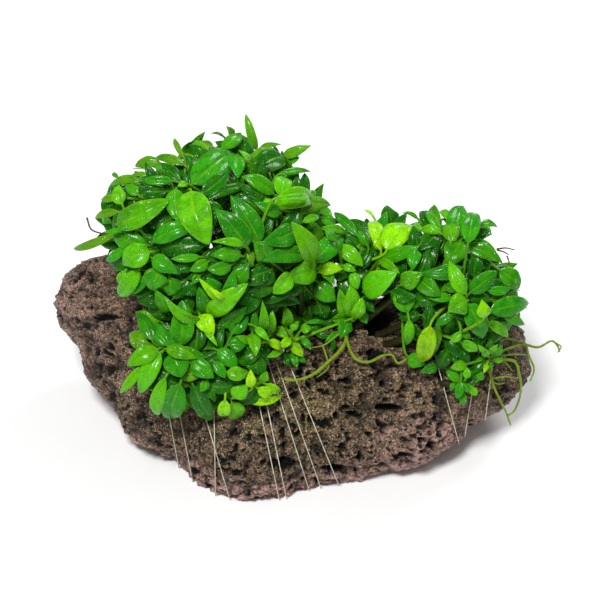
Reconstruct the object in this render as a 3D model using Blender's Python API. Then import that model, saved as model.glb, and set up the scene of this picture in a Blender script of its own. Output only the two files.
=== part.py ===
"""A lava stone overgrown with a dwarf anubias: the stone, the shoots with their roots, and the tying thread.

Lengths are in millimetres and are turned into metres as each mesh is made. +Z is up and the front faces -Y.
The front of the plant is laid out on the grid of a viewer who looks down on it: a place on the grid is
across and down in grid steps, and near in millimetres towards the viewer.
"""

import math
import random

import bmesh
import bpy
from mathutils import Vector, noise
from mathutils.bvhtree import BVHTree

MM = 0.001

# The viewer's grid
VIEW_RISE = math.radians(40)
GRID_STEP = 0.4
GRID_MIDDLE = 300.0
EYE_DISTANCE = 750.0
RIGHT = Vector((1, 0, 0))
UP = Vector((0, math.sin(VIEW_RISE), math.cos(VIEW_RISE)))
NEAR = Vector((0, -math.cos(VIEW_RISE), math.sin(VIEW_RISE)))
AIM = 3.4 * RIGHT + 48.4 * UP
VIEW_DEPTH = 70.0
VIEW_STEP = 2.5

# The stone: centre and half sizes of each swelling, and a level base cut at zero height
STONE_HEART = Vector((0, 2, 22))
SWELLINGS = {
    "body": ((-2, 5, 20), (72, 42, 30)),
    "left_head": ((-66, 32, 36), (32, 24, 21)),
    "left_foot": ((-54, 16, 24), (33, 27, 25)),
    "left_crown": ((-34, 20, 36), (46, 32, 24)),
    "left_front": ((-42, -4, 15), (31, 26, 22)),
    "front": ((-14, -16, 13), (34, 32, 28)),
    "middle_front": ((14, -9, 14), (38, 32, 24)),
    "right_top": ((28, 4, 30), (50, 32, 20)),
    "right_front": ((46, -5, 14), (32, 31, 21)),
    "right_end": ((65, 8, 23), (33, 27, 23)),
}
SWELLING_BLEND = 20
# Bumps and dips: how far the surface lies below the swellings' outline, its swing, and the spacing of the bumps
RELIEF_MEAN = 2.1
RELIEF_SWING = 2.4
RELIEF_SPACING = 16.0
STONE_SUBDIVISIONS = 4
FOOT_HEIGHT = 8.0
EDGE_TOLERANCE = 0.02

# Hollows in the front of the stone: grid place, half sizes across and down in grid steps, and depth
HOLLOWS = {
    "cavity": ((383, 318), (17, 17), 10),
    "pit_below_cavity": ((379, 358), (7, 12), 6),
    "pit_middle": ((352, 381), (5, 4), 3),
    "pit_right": ((389, 384), (5, 4), 3),
    "ledge_slot": ((396, 410), (15, 4), 4),
    "base_slot_left": ((281, 470), (16, 6), 4),
    "base_slot_right": ((337, 475), (15, 4), 4),
    "left_hollow": ((147, 295), (8, 6), 4),
    "left_crease": ((95, 314), (16, 4), 3),
}

# The tying thread: each loop passes through two places on the grid, and some ride higher to cross another
THREAD_RADIUS = 0.3
THREAD_GAP = 0.3
THREAD_SLACK = 0.8
THREAD_STEPS = 18
GROOVE_WIDTH = 1.8
GROOVE_ROOM = 0.45
GROOVE_SEARCH = 2.4
GROOVE_OVERRUN = 4.0
LONGEST_REACH = 130.0
THREADS = {
    "tying_thread_01": ((170.5, 423), (176.5, 455), 0.0),
    "tying_thread_02": ((179.5, 413), (188, 457), 0.0),
    "tying_thread_03": ((198, 392), (220.5, 468), 0.0),
    "tying_thread_04": ((213.6, 380), (215, 466), 1.2),
    "tying_thread_05": ((248, 352), (273, 470), 0.0),
    "tying_thread_06": ((256, 352), (280.5, 470), 1.2),
    "tying_thread_07": ((264, 349), (299.5, 460), 0.0),
    "tying_thread_08": ((272, 350), (311, 460), 0.0),
    "tying_thread_09": ((284, 351), (328.5, 460), 0.0),
    "tying_thread_10": ((436, 359), (451.5, 416), 0.0),
    "tying_thread_11": ((473, 387), (468, 417), 1.2),
    "tying_thread_12": ((490, 384), (486.5, 410), 0.0),
}

# The plant's outline: centre and half sizes of each clump of leaves
CLUMPS = {
    "crest": ((-35, 15, 82), (48, 38, 36)),
    "front_left": ((-39, -22, 52), (36, 22, 20)),
    "low_middle": ((-5, -2, 45), (25, 18, 15)),
    "saddle": ((17, 21, 60), (30, 25, 25)),
    "right": ((61, 8, 58), (36, 28, 32)),
    "right_foot": ((66, -17, 38), (15, 12, 12)),
}

# Shoots
STEM_RADIUS = 1.3
STEM_FOOT_RADIUS = 1.7
STEM_GAPS = (0.6, 1.0, 1.5, 2.2)
STEM_SIDES = 5
FOOT_SHIFTS = range(-18, 19, 2)
START_HEIGHTS = (1.0, 0.8, 0.6)
LOWEST_START = 0.8
CROWN_DEPTH = 11.0
CROWN_CLEARANCE = 4.0
LEAF_CLEARANCE = 3.0
LEAF_THICKNESS = 0.7
PETIOLE_RADIUS = 0.45
STALK_INSET = 1.0
# A leaf's base lies deeper in the plant than its tip, and no leaf is seen too steeply
BASE_DEPTH = 2.0
STEEPEST = 0.8
NARROWEST_VIEW = 0.7
OUTWARD_LEAN = 0.55
ARCH = 0.1
BRIGHT_ARCH = 0.16
PARENT_CHOICES = 3
FOLD_COST = 25.0
STRAIGHTEST_FOLD = 0.35
SMALLEST_SOLID_LEAF = 9
THINNING = 0.72
LEAF_GAP = 0.35
LEAF_SPACING = 0.55
# Stations of a blade: how far along it, and how wide it is there as a share of its full width
BLADE_SHAPE = ((0.0, 0.0), (0.36, 0.98), (0.76, 0.7), (1.0, 0.0))
# A three-sided section is this much wider than its half width
SPINDLE_WIDTH = 2 * math.sin(math.radians(120))
ESCAPE_STEP = 0.8
OUTWARD_STEPS = 22
INWARD_STEPS = 5
BLADE_DEPTH = {"o": 6.0, "d": 5.0, "g": 3.0, "s": 2.0, "b": 1.0, "y": 0.0}
TONE_ORDER = "odgsby"

# Each front shoot's crown on the grid
FRONT_CROWNS = {
    "shoot_crest_left": (174, 192),
    "shoot_crest_front": (200, 190),
    "shoot_crest_top": (250, 160),
    "shoot_crest_right": (280, 176),
    "shoot_shoulder": (272, 206),
    "shoot_middle_left": (248, 252),
    "shoot_middle": (313, 262),
    "shoot_middle_low": (300, 282),
    "shoot_left_upper": (154, 248),
    "shoot_left_low": (152, 270),
    "shoot_left_outer": (122, 228),
    "shoot_left_inner": (206, 264),
    "shoot_front_upper": (206, 314),
    "shoot_front_left": (160, 346),
    "shoot_front_middle": (182, 350),
    "shoot_front_low": (188, 378),
    "shoot_front_right": (220, 358),
    "shoot_foot_left": (236, 396),
    "shoot_low_left": (262, 338),
    "shoot_low_right": (294, 340),
    "shoot_saddle_front": (350, 322),
    "shoot_saddle_left": (360, 262),
    "shoot_saddle_top": (386, 252),
    "shoot_saddle_low": (372, 292),
    "shoot_saddle_right": (404, 290),
    "shoot_saddle_back": (328, 234),
    "shoot_right_back": (438, 230),
    "shoot_right_top": (466, 238),
    "shoot_right_middle": (462, 296),
    "shoot_right_outer": (496, 304),
    "shoot_right_front": (430, 330),
    "shoot_right_low": (462, 342),
    "shoot_right_foot": (463, 384),
    "shoot_right_rosette": (490, 358),
}

# The leaves of the front: base across and down, tip across and down, width seen, and tone
# (olive, dark, green, sheen, bright, yellowish)
FRONT_LEAVES = (
    # Crest left
    (184, 158, 174, 136, 5, "o"), (184, 165, 154, 157, 8, "o"), (180, 180, 161, 162, 11, "d"),
    (160, 163, 134, 165, 10, "o"), (172, 181, 140, 181, 8, "s"), (176, 189, 178, 221, 16, "g"),
    (172, 218, 149, 227, 10, "d"),
    # Crest front
    (191, 191, 209, 244, 27, "b"), (192, 184, 240, 146, 26, "s"), (222, 148, 241, 132, 12, "g"),
    (202, 194, 229, 169, 14, "d"), (243, 186, 206, 200, 9, "d"),
    # Crest top
    (257, 150, 247, 114, 8, "o"), (236, 156, 238, 178, 14, "s"), (251, 156, 278, 150, 9, "o"),
    (208, 152, 190, 143, 9, "o"), (213, 147, 197, 141, 7, "o"), (234, 136, 227, 126, 7, "o"),
    # Crest right
    (283, 156, 311, 145, 10, "o"), (283, 163, 299, 157, 11, "g"), (283, 156, 245, 176, 21, "d"),
    (274, 194, 242, 176, 13, "g"), (280, 196, 286, 175, 15, "b"),
    # Shoulder
    (270, 199, 238, 184, 10, "d"), (274, 205, 317, 200, 18, "b"), (276, 198, 312, 194, 7, "b"),
    (305, 198, 316, 190, 8, "g"), (292, 212, 332, 205, 14, "o"), (280, 213, 255, 202, 12, "s"),
    (266, 199, 270, 209, 8, "b"),
    # Middle left
    (260, 243, 231, 195, 20, "s"), (247, 247, 216, 209, 20, "s"), (243, 245, 213, 242, 7, "b"),
    (268, 258, 254, 242, 17, "g"), (241, 256, 212, 256, 13, "g"), (246, 253, 253, 265, 12, "o"),
    # Middle
    (297, 229, 263, 242, 19, "s"), (312, 262, 294, 224, 17, "b"), (305, 256, 262, 261, 14, "s"),
    (316, 268, 286, 279, 20, "y"), (314, 262, 345, 235, 18, "s"), (317, 268, 343, 269, 12, "y"),
    (322, 267, 334, 284, 10, "b"), (333, 271, 350, 275, 15, "d"),
    # Middle low
    (291, 274, 274, 294, 14, "b"), (308, 280, 305, 305, 18, "d"), (318, 282, 336, 301, 18, "g"),
    (272, 270, 262, 286, 10, "d"),
    # Left upper
    (153, 242, 197, 225, 15, "s"), (160, 246, 209, 241, 19, "d"), (146, 245, 111, 231, 17, "g"),
    (150, 252, 122, 265, 20, "b"), (152, 258, 177, 274, 14, "s"), (133, 262, 109, 266, 13, "d"),
    (133, 229, 149, 219, 10, "g"),
    # Left low
    (160, 270, 154, 291, 20, "g"), (170, 277, 168, 296, 18, "g"), (139, 269, 118, 296, 14, "b"),
    (146, 278, 124, 294, 12, "s"), (125, 271, 117, 284, 7, "b"),
    # Left outer
    (116, 234, 72, 249, 7.5, "o"), (118, 212, 92, 218, 7, "o"), (125, 247, 104, 261, 8, "s"),
    (117, 224, 168, 199, 20, "b"),
    # Left, at the top
    (122, 204, 119, 185, 12, "b"), (138, 195, 125, 184, 9, "g"), (140, 181, 109, 184, 9, "o"),
    (117, 196, 100, 199, 7, "o"),
    # Left inner
    (200, 257, 171, 259, 7, "g"), (192, 264, 176, 272, 11, "d"), (208, 262, 190, 271, 10, "g"),
    (231, 265, 208, 269, 11, "g"), (232, 272, 212, 275, 8, "d"), (200, 275, 193, 284, 7, "g"),
    (221, 290, 208, 278, 11, "s"),
    # Front upper
    (200, 320, 166, 300, 10, "y"), (209, 316, 248, 284, 17, "y"), (217, 300, 199, 279, 7, "y"),
    (206, 313, 199, 288, 12, "s"), (200, 315, 213, 334, 15, "y"), (224, 298, 233, 271, 11, "s"),
    (236, 285, 249, 264, 14, "g"), (219, 326, 247, 307, 12, "g"),
    # Front left
    (158, 349, 127, 366, 15, "b"), (150, 356, 128, 366, 10, "d"), (143, 366, 119, 394, 8, "b"),
    (160, 353, 139, 394, 15, "b"), (152, 340, 136, 312, 12, "s"), (160, 321, 135, 311, 9, "b"),
    (168, 346, 148, 321, 13, "s"), (148, 343, 129, 333, 16, "o"), (173, 310, 156, 291, 12, "g"),
    # Front middle
    (172, 353, 181, 377, 21, "s"), (166, 349, 196, 358, 12, "y"), (176, 352, 205, 357, 14, "g"),
    (180, 366, 200, 376, 17, "o"), (180, 345, 182, 300, 19, "g"), (170, 345, 186, 314, 14, "s"),
    (195, 351, 196, 314, 15, "d"),
    # Front low
    (165, 378, 157, 417, 12, "b"), (180, 384, 173, 423, 20, "s"), (193, 385, 211, 424, 15, "d"),
    (207, 380, 200, 392, 8, "g"),
    # Front right
    (191, 362, 214, 378, 15, "s"), (214, 362, 225, 378, 9, "s"), (217, 350, 237, 369, 13, "s"),
    (229, 345, 246, 345, 13, "s"), (232, 334, 249, 312, 15, "s"), (250, 342, 236, 336, 7, "b"),
    (227, 372, 248, 372, 12, "b"), (207, 385, 248, 380, 12, "d"),
    # Foot left
    (233, 398, 248, 385, 14, "b"), (225, 400, 225, 418, 11, "y"), (232, 402, 240, 419, 15, "b"),
    (252, 387, 251, 370, 9, "y"),
    # Foot right
    (258, 388, 272, 397, 10, "y"), (249, 402, 283, 397, 7, "y"), (266, 384, 280, 392, 8, "y"),
    (262, 381, 267, 372, 8, "b"),
    # Low left
    (252, 334, 256, 356, 11, "b"), (262, 330, 263, 303, 9, "b"), (271, 334, 273, 311, 8, "b"),
    (252, 333, 255, 309, 7, "g"), (256, 327, 270, 340, 7, "b"), (268, 342, 282, 350, 8, "y"),
    (280, 350, 268, 357, 7, "b"),
    # Low right
    (286, 326, 285, 306, 10, "b"), (277, 327, 289, 338, 9, "b"), (290, 339, 279, 347, 8, "y"),
    (292, 344, 303, 357, 9, "y"), (302, 339, 311, 350, 7, "g"), (292, 352, 297, 368, 8, "s"),
    (285, 352, 289, 366, 7, "d"), (302, 330, 311, 328, 8, "b"), (318, 303, 322, 320, 16, "d"),
    (292, 331, 299, 321, 7, "b"),
    # Saddle front
    (356, 318, 352, 286, 16, "b"), (348, 319, 340, 291, 12, "b"), (353, 318, 362, 299, 12, "b"),
    (347, 318, 332, 320, 12, "b"), (349, 320, 342, 337, 13, "s"), (360, 311, 367, 324, 9, "g"),
    # Saddle left
    (338, 246, 363, 266, 13, "b"), (343, 266, 356, 271, 7, "b"), (353, 272, 358, 289, 10, "b"),
    (358, 236, 334, 211, 9, "s"), (372, 246, 348, 217, 12, "d"), (368, 246, 359, 230, 8, "g"),
    (373, 251, 357, 246, 10, "o"),
    # Saddle top
    (381, 250, 373, 216, 13, "y"), (381, 251, 380, 232, 14, "y"), (387, 250, 411, 221, 23, "y"),
    (394, 230, 388, 205, 18, "d"), (383, 258, 418, 246, 13, "g"), (380, 261, 399, 273, 8, "b"),
    # Saddle low
    (363, 292, 396, 273, 22, "b"), (364, 297, 388, 292, 8, "s"), (366, 302, 373, 312, 8, "d"),
    # Saddle right
    (401, 285, 423, 273, 16, "b"), (404, 291, 408, 312, 18, "g"), (420, 315, 398, 319, 10, "d"),
    (416, 250, 412, 268, 12, "s"), (418, 278, 440, 296, 15, "g"),
    # Saddle back
    (322, 245, 311, 220, 10, "o"), (321, 218, 338, 224, 11, "g"), (345, 233, 321, 228, 7, "b"),
    (335, 240, 325, 229, 7, "g"), (303, 222, 320, 217, 7, "b"),
    # Right back
    (432, 228, 419, 210, 14, "d"), (441, 233, 427, 209, 8, "g"), (450, 220, 438, 210, 8, "b"),
    (451, 242, 448, 221, 14, "b"), (440, 233, 418, 230, 8, "b"), (439, 234, 421, 250, 16, "d"),
    # Right top
    (458, 238, 464, 204, 21, "s"), (468, 243, 477, 207, 15, "s"), (461, 240, 449, 264, 20, "g"),
    (481, 224, 499, 226, 7, "g"), (466, 247, 503, 263, 12, "g"), (475, 240, 497, 252, 9, "g"),
    # Right middle
    (466, 294, 450, 260, 13, "b"), (470, 293, 498, 271, 15, "s"), (462, 268, 422, 272, 13, "s"),
    (467, 301, 449, 312, 19, "b"), (468, 304, 484, 340, 19, "s"), (484, 318, 482, 300, 12, "y"),
    # Right outer
    (490, 311, 535, 304, 17, "s"), (503, 313, 525, 325, 9, "g"), (500, 270, 521, 288, 16, "g"),
    (488, 290, 511, 288, 8, "s"), (490, 300, 506, 293, 8, "o"), (488, 322, 508, 338, 9, "b"),
    # Right front
    (430, 326, 421, 364, 16, "y"), (439, 326, 432, 358, 13, "o"), (409, 320, 406, 346, 9, "b"),
    (408, 357, 425, 366, 13, "g"), (438, 365, 421, 373, 10, "s"), (448, 350, 440, 370, 12, "d"),
    (452, 314, 435, 327, 8, "s"),
    # Right low
    (460, 332, 450, 342, 7, "b"), (463, 331, 471, 339, 7, "g"), (461, 342, 478, 352, 9, "b"),
    (467, 364, 450, 368, 9, "b"),
    # Right foot
    (460, 381, 446, 371, 8, "g"), (461, 382, 457, 399, 8, "s"), (464, 384, 470, 393, 7, "g"),
    (462, 393, 463, 406, 7, "g"), (466, 378, 467, 368, 7, "b"),
    # Right rosette
    (478, 380, 482, 372, 7, "g"), (472, 388, 477, 395, 7, "b"), (488, 362, 491, 370, 7, "g"),
    (488, 356, 480, 346, 7, "b"), (492, 354, 490, 342, 7, "g"), (494, 356, 502, 346, 7, "g"),
)

# Shoots behind the plant: the crown in millimetres, and how many leaves
BACK_SHOOTS = {
    "shoot_back_left": ((-57, 42, 62), 5),
    "shoot_back_crest": ((-42, 46, 82), 6),
    "shoot_back_shoulder": ((-19, 44, 69), 6),
    "shoot_back_low_left": ((-36, 56, 56), 5),
    "shoot_back_middle": ((10, 44, 60), 5),
    "shoot_back_saddle": ((34, 38, 52), 5),
    "shoot_back_right": ((57, 34, 56), 6),
    "shoot_back_end": ((74, 24, 45), 5),
}
GOLDEN_ANGLE = math.radians(137.5)
TURN_SPREAD = 0.3
FIRST_SPREAD = 0.56
SPREAD_STEP = 0.16
BACK_STALK = 5.5
BACK_LENGTHS = (15, 19)
BACK_WIDTHS = (5.5, 7.5)
BACK_DROOP = 0.25
BACK_SIDEWAYS = 0.15
BACK_ARCH = 0.12

# Roots and runners that lie over the stone: the shoot they grow from, the radius, then places on the grid
ROOT_START = 0.7
ROOT_LIFT = 3.0
ROOT_TAPER = 0.5
ROOTS = {
    "runner_long": ("shoot_saddle_front", 0.7, (
        (350, 324), (346, 336), (354, 357), (368, 362), (382, 356), (392, 355), (398, 363), (408, 358))),
    "runner_back": ("shoot_saddle_front", 0.8, (
        (349, 326), (344, 345), (327, 363), (312, 375), (296, 380), (281, 379))),
    "root_right_upper": ("shoot_right_rosette", 0.6, (
        (492, 356), (505, 350), (524, 345), (529, 356), (534, 369), (530, 382))),
    "root_right_far": ("shoot_right_rosette", 0.6, (
        (492, 355), (503, 339), (527, 345), (539, 347), (551, 341), (557, 345), (560, 352))),
    "root_right_middle": ("shoot_right_rosette", 0.6, (
        (493, 359), (513, 361), (519, 373), (521, 387), (519, 400), (514, 411), (507, 416))),
    "root_right_low": ("shoot_right_rosette", 0.6, (
        (491, 362), (493, 384), (500, 400), (506, 412), (511, 426))),
}


def unit(vector):
    return vector / vector.length


def view_ray(across, down):
    """A point and a direction such that point + near * direction is the place on the grid at that nearness."""
    offset = GRID_STEP * ((across - GRID_MIDDLE) * RIGHT + (GRID_MIDDLE - down) * UP)
    return AIM + offset, NEAR - offset / EYE_DISTANCE


def grid_point(across, down, near):
    point, direction = view_ray(across, down)
    return point + near * direction


def in_sizes(vector, sizes):
    return Vector((vector[0] / sizes[0], vector[1] / sizes[1], vector[2] / sizes[2]))


def swelling_reach(direction, centre, sizes):
    """How far a ray from the stone's heart goes before it leaves one swelling, or 0 where it misses."""
    start = in_sizes(STONE_HEART - Vector(centre), sizes)
    step = in_sizes(direction, sizes)
    a, b, c = step.dot(step), start.dot(step), start.dot(start) - 1
    root = b * b - a * c
    return max(0.0, (-b + math.sqrt(root)) / a) if root > 0 else 0.0


def stone_reach(direction):
    """The smooth envelope of the swellings, cut level at the base, along a ray from the stone's heart."""
    reaches = [swelling_reach(direction, *size) for size in SWELLINGS.values()]
    reach = sum(r**SWELLING_BLEND for r in reaches) ** (1 / SWELLING_BLEND)
    return min(reach, STONE_HEART.z / -direction.z) if direction.z < 0 else reach


def stone_surface(direction):
    """The stone's surface along a ray from its heart: below the envelope by a relief that ends at the base."""
    place = STONE_HEART + stone_reach(direction) * direction
    relief = RELIEF_MEAN + RELIEF_SWING * noise.noise(place / RELIEF_SPACING)
    return place - relief * min(1.0, max(0.0, place.z) / FOOT_HEIGHT) * direction


def above_stone(point):
    """How far a point is outside the stone's envelope, along the ray from the heart."""
    ray = point - STONE_HEART
    return ray.length - stone_reach(unit(ray))


def edge_of_stone(point, direction, inside, outside):
    """How far along a line the stone's envelope is, between a place inside it and one outside it."""
    while outside - inside > EDGE_TOLERANCE:
        middle = (inside + outside) / 2
        if above_stone(point + middle * direction) > 0:
            outside = middle
        else:
            inside = middle
    return inside


def stone_near(across, down):
    """The nearness at which the view ray meets the stone's envelope, or None where it misses."""
    point, direction = view_ray(across, down)
    near = VIEW_DEPTH
    while near > -VIEW_DEPTH and above_stone(point + near * direction) > 0:
        near -= VIEW_STEP
    if near <= -VIEW_DEPTH:
        return None
    return edge_of_stone(point, direction, near, near + VIEW_STEP)


def clump_near(across, down):
    """The nearness of the plant's outline on a view ray, or of the ray's closest pass where it misses."""
    point, direction = view_ray(across, down)
    hits, misses = [], []
    for centre, sizes in CLUMPS.values():
        start, step = in_sizes(point - Vector(centre), sizes), in_sizes(direction, sizes)
        a, b, c = step.dot(step), start.dot(step), start.dot(start) - 1
        root = b * b - a * c
        if root > 0:
            hits.append((-b + math.sqrt(root)) / a)
        else:
            misses.append((-root / a, -b / a))
    return max(hits) if hits else min(misses)[1]


def clump_outward(point):
    """The direction out of the clump that holds a point, or that is closest to it."""
    offsets = [(in_sizes(point - Vector(centre), sizes), sizes) for centre, sizes in CLUMPS.values()]
    offset, sizes = min(offsets, key=lambda pair: pair[0].length)
    return unit(in_sizes(offset, sizes))


def reshaped(bm, place):
    """Points and faces of a primitive whose vertices are moved to their places. It frees the primitive."""
    for vertex in bm.verts:
        vertex.co = place(vertex.co)
    bm.normal_update()
    bmesh.ops.recalc_face_normals(bm, faces=bm.faces)
    points = [vertex.co.copy() for vertex in bm.verts]
    faces = [[vertex.index for vertex in face.verts] for face in bm.faces]
    bm.free()
    return points, faces


def mesh_object(name, points, faces, collection):
    mesh = bpy.data.meshes.new(name)
    mesh.from_pydata(points, [], faces)
    obj = bpy.data.objects.new(name, mesh)
    obj.scale = (MM, MM, MM)
    collection.objects.link(obj)
    return obj


def sphere_grid(sides, bands):
    """A UV sphere as (band, cosine, sine) for each vertex, with its faces."""
    bm = bmesh.new()
    bmesh.ops.create_uvsphere(bm, u_segments=sides, v_segments=bands, radius=1)
    bmesh.ops.triangulate(bm, faces=bm.faces)
    corners = []
    for vertex in bm.verts:
        band = round((1 - math.acos(max(-1, min(1, vertex.co.z))) / math.pi) * bands)
        ring = math.hypot(vertex.co.x, vertex.co.y)
        corners.append((band, vertex.co.x / ring, vertex.co.y / ring) if 0 < band < bands else (band, 0, 0))
    faces = [[vertex.index for vertex in face.verts] for face in bm.faces]
    bm.free()
    return corners, faces


SPHERE_GRIDS = {}


def spindle(centres, facing, half_widths, half_heights, sides):
    """A sphere stretched along a path: points and faces. Its first and last centres are its two poles."""
    bands = len(centres) - 1
    if (sides, bands) not in SPHERE_GRIDS:
        SPHERE_GRIDS[sides, bands] = sphere_grid(sides, bands)
    corners, faces = SPHERE_GRIDS[sides, bands]
    frames = []
    for i in range(bands + 1):
        along = unit(centres[min(i + 1, bands)] - centres[max(i - 1, 0)])
        across = unit(facing.cross(along))
        frames.append((across, along.cross(across)))
    points = []
    for band, cosine, sine in corners:
        across, up = frames[band]
        points.append(centres[band] + sine * half_widths[band] * across - cosine * half_heights[band] * up)
    return points, faces


class Blade:
    """One leaf: its stalk from the stem, then a blade from base to tip that faces outward."""

    def __init__(self, start, base, tip, facing, width, arch, long_stalk=True):
        self.start, self.base, self.tip = start, base, tip
        self.facing, self.width, self.arch, self.long_stalk = facing, width, arch, long_stalk

    def along_blade(self, fraction):
        bend = 4 * fraction * (1 - fraction) * self.arch * (self.tip - self.base).length
        return self.base.lerp(self.tip, fraction) + bend * self.facing

    def solid(self, grow=0.0, whole=True):
        """Points and faces of the leaf, grown by a clearance, with or without its stalk."""
        centres = [self.along_blade(fraction) for fraction, _ in BLADE_SHAPE]
        widths = [max(PETIOLE_RADIUS, self.width / SPINDLE_WIDTH * part) + grow for _, part in BLADE_SHAPE]
        heights = [LEAF_THICKNESS / 1.5 + grow for _ in BLADE_SHAPE]
        heights[0] = PETIOLE_RADIUS + grow
        if whole:
            away = unit(self.base - self.start)
            if self.long_stalk:
                centres.insert(0, self.start + STALK_INSET * away)
                widths.insert(0, widths[0])
                heights.insert(0, heights[0])
            else:
                centres[0] = self.start + STALK_INSET * away
            centres.insert(0, self.start + 0.2 * STALK_INSET * away)
            widths.insert(0, 0)
            heights.insert(0, 0)
        return spindle(centres, self.facing, widths, heights, 3)


def tree_of(solid):
    return BVHTree.FromPolygons(*solid)


def thread_loop(top, bottom, lift):
    """The centre line of one taut loop in the plane that holds both view rays, and that plane's normal."""
    first = grid_point(*top, stone_near(*top))
    last = grid_point(*bottom, stone_near(*bottom))
    normal = unit((first - last).cross(view_ray(*top)[1]))
    middle = STONE_HEART + normal.dot(first - STONE_HEART) * normal
    rise = unit(Vector((0, 0, 1)) - normal.z * normal)
    side = rise.cross(normal)
    offset = THREAD_GAP + THREAD_RADIUS + THREAD_SLACK + lift
    floor = GROOVE_ROOM + THREAD_RADIUS + lift
    samples = []
    for i in range(4 * THREAD_STEPS):
        angle = math.tau * i / (4 * THREAD_STEPS)
        direction = math.cos(angle) * side + math.sin(angle) * rise
        place = middle + edge_of_stone(middle, direction, 0.0, LONGEST_REACH) * direction
        place.z = max(place.z, floor + offset)
        samples.append(Vector(((place - middle).dot(side), (place - middle).dot(rise))))
    loop = []
    for i in range(THREAD_STEPS):
        angle = math.tau * (i + 0.5) / THREAD_STEPS
        out = Vector((math.cos(angle), math.sin(angle)))
        corner = max(samples, key=out.dot) + offset * out
        loop.append(middle + corner.x * side + corner.y * rise)
    return loop, normal


def thread_solid(loop, normal, radius):
    """A three-sided tube along a closed loop."""
    points, faces = [], []
    count = len(loop)
    for i, centre in enumerate(loop):
        along = unit(loop[(i + 1) % count] - loop[i - 1])
        out = along.cross(normal)
        for j in range(3):
            angle = math.tau * j / 3
            points.append(centre + radius * (math.cos(angle) * out + math.sin(angle) * normal))
            a, b = 3 * i, 3 * ((i + 1) % count)
            k = (j + 1) % 3
            faces.append((a + j, b + j, b + k, a + k))
    return points, faces


def stone_solid():
    bm = bmesh.new()
    bmesh.ops.create_icosphere(bm, subdivisions=STONE_SUBDIVISIONS, radius=1)
    return reshaped(bm, lambda co: stone_surface(unit(co)))


def stem_foot(crown, trees):
    """The foot of a stem on the stone below its crown, moved aside where something is in its way."""
    shifts = [(aside, ahead) for aside in FOOT_SHIFTS for ahead in FOOT_SHIFTS]
    for aside, ahead in sorted(shifts, key=lambda shift: math.hypot(*shift)):
        ray = unit(crown + aside * RIGHT + ahead * UP - STONE_HEART)
        for gap in STEM_GAPS:
            foot = stone_surface(ray) + gap * ray
            tree = tree_of(stem_solid(foot, crown, LEAF_GAP))
            if not any(tree.overlap(other) for other in trees):
                return foot
    raise ValueError("a stem has no clear foot")


def stem_solid(foot, crown, grow=0.0):
    along = unit(crown - foot)
    centres = [foot - grow * along, foot + STEM_RADIUS * along, crown, crown + STEM_RADIUS * along]
    radii = [0, STEM_FOOT_RADIUS + grow, STEM_RADIUS + grow, 0]
    return spindle(centres, NEAR if abs(along.dot(NEAR)) < 0.9 else UP, radii, radii, STEM_SIDES)


def lift_off(across, down, near, clearance):
    """A nearness that is at least so far in front of the stone."""
    stone = stone_near(across, down)
    return near if stone is None else max(near, stone + clearance)


def front_crown(across, down):
    near = lift_off(across, down, clump_near(across, down) - CROWN_DEPTH, CROWN_CLEARANCE)
    return grid_point(across, down, near)


def front_blade(leaf, start, shift):
    """A leaf laid out on the grid, moved towards the viewer by a shift."""
    base_across, base_down, tip_across, tip_down, width, tone = leaf
    depth = BLADE_DEPTH[tone]
    base_near = clump_near(base_across, base_down) - depth - BASE_DEPTH
    base_near = lift_off(base_across, base_down, base_near, LEAF_CLEARANCE)
    tip_near = lift_off(tip_across, tip_down, clump_near(tip_across, tip_down) - depth, LEAF_CLEARANCE)
    length = GRID_STEP * math.hypot(tip_across - base_across, tip_down - base_down)
    most = STEEPEST * length
    tip_near = max(base_near - most, min(base_near + most, tip_near))
    base = grid_point(base_across, base_down, base_near + shift)
    tip = grid_point(tip_across, tip_down, tip_near + shift)
    along = unit(tip - base)
    facing = NEAR + OUTWARD_LEAN * clump_outward(base.lerp(tip, 0.5))
    facing = unit(facing - facing.dot(along) * along)
    seen = unit(facing.cross(along))
    flat = math.hypot(seen.dot(RIGHT), seen.dot(UP))
    arch = BRIGHT_ARCH if tone in "by" else ARCH
    return Blade(start, base, tip, facing, GRID_STEP * width / max(flat, NARROWEST_VIEW), arch)


def parent_shoots(leaf, crowns):
    """The front shoots that a leaf can grow from: near its base, and behind it as seen from the tip."""
    def cost(name):
        blade = front_blade(leaf, crowns[name], 0)
        stalk, lamina = blade.base - blade.start, blade.tip - blade.base
        turn = stalk.dot(lamina) / stalk.length / lamina.length
        return stalk.length + FOLD_COST * max(0, STRAIGHTEST_FOLD - turn)

    return sorted(FRONT_CROWNS, key=cost)[:PARENT_CHOICES]


def back_blade(crown, index, start, shift, seed):
    """A leaf that spirals round a crown behind the plant, moved outward by a shift."""
    outward = clump_outward(crown)
    side = unit(outward.cross(Vector((0.2, 0.1, 1))))
    turn = seed.uniform(-TURN_SPREAD, TURN_SPREAD) + index * GOLDEN_ANGLE
    sideways = math.cos(turn) * side + math.sin(turn) * outward.cross(side)
    length = seed.uniform(*BACK_LENGTHS)
    heading = unit(outward + (FIRST_SPREAD + SPREAD_STEP * index) * sideways)
    base = crown + BACK_STALK * heading + shift * outward
    tip = base + length * unit(heading - BACK_DROOP * outward + BACK_SIDEWAYS * sideways)
    along = unit(tip - base)
    facing = outward + Vector((0, 0, 0.5))
    facing = unit(facing - facing.dot(along) * along)
    return Blade(start, base, tip, facing, seed.uniform(*BACK_WIDTHS), BACK_ARCH, False)


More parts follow.
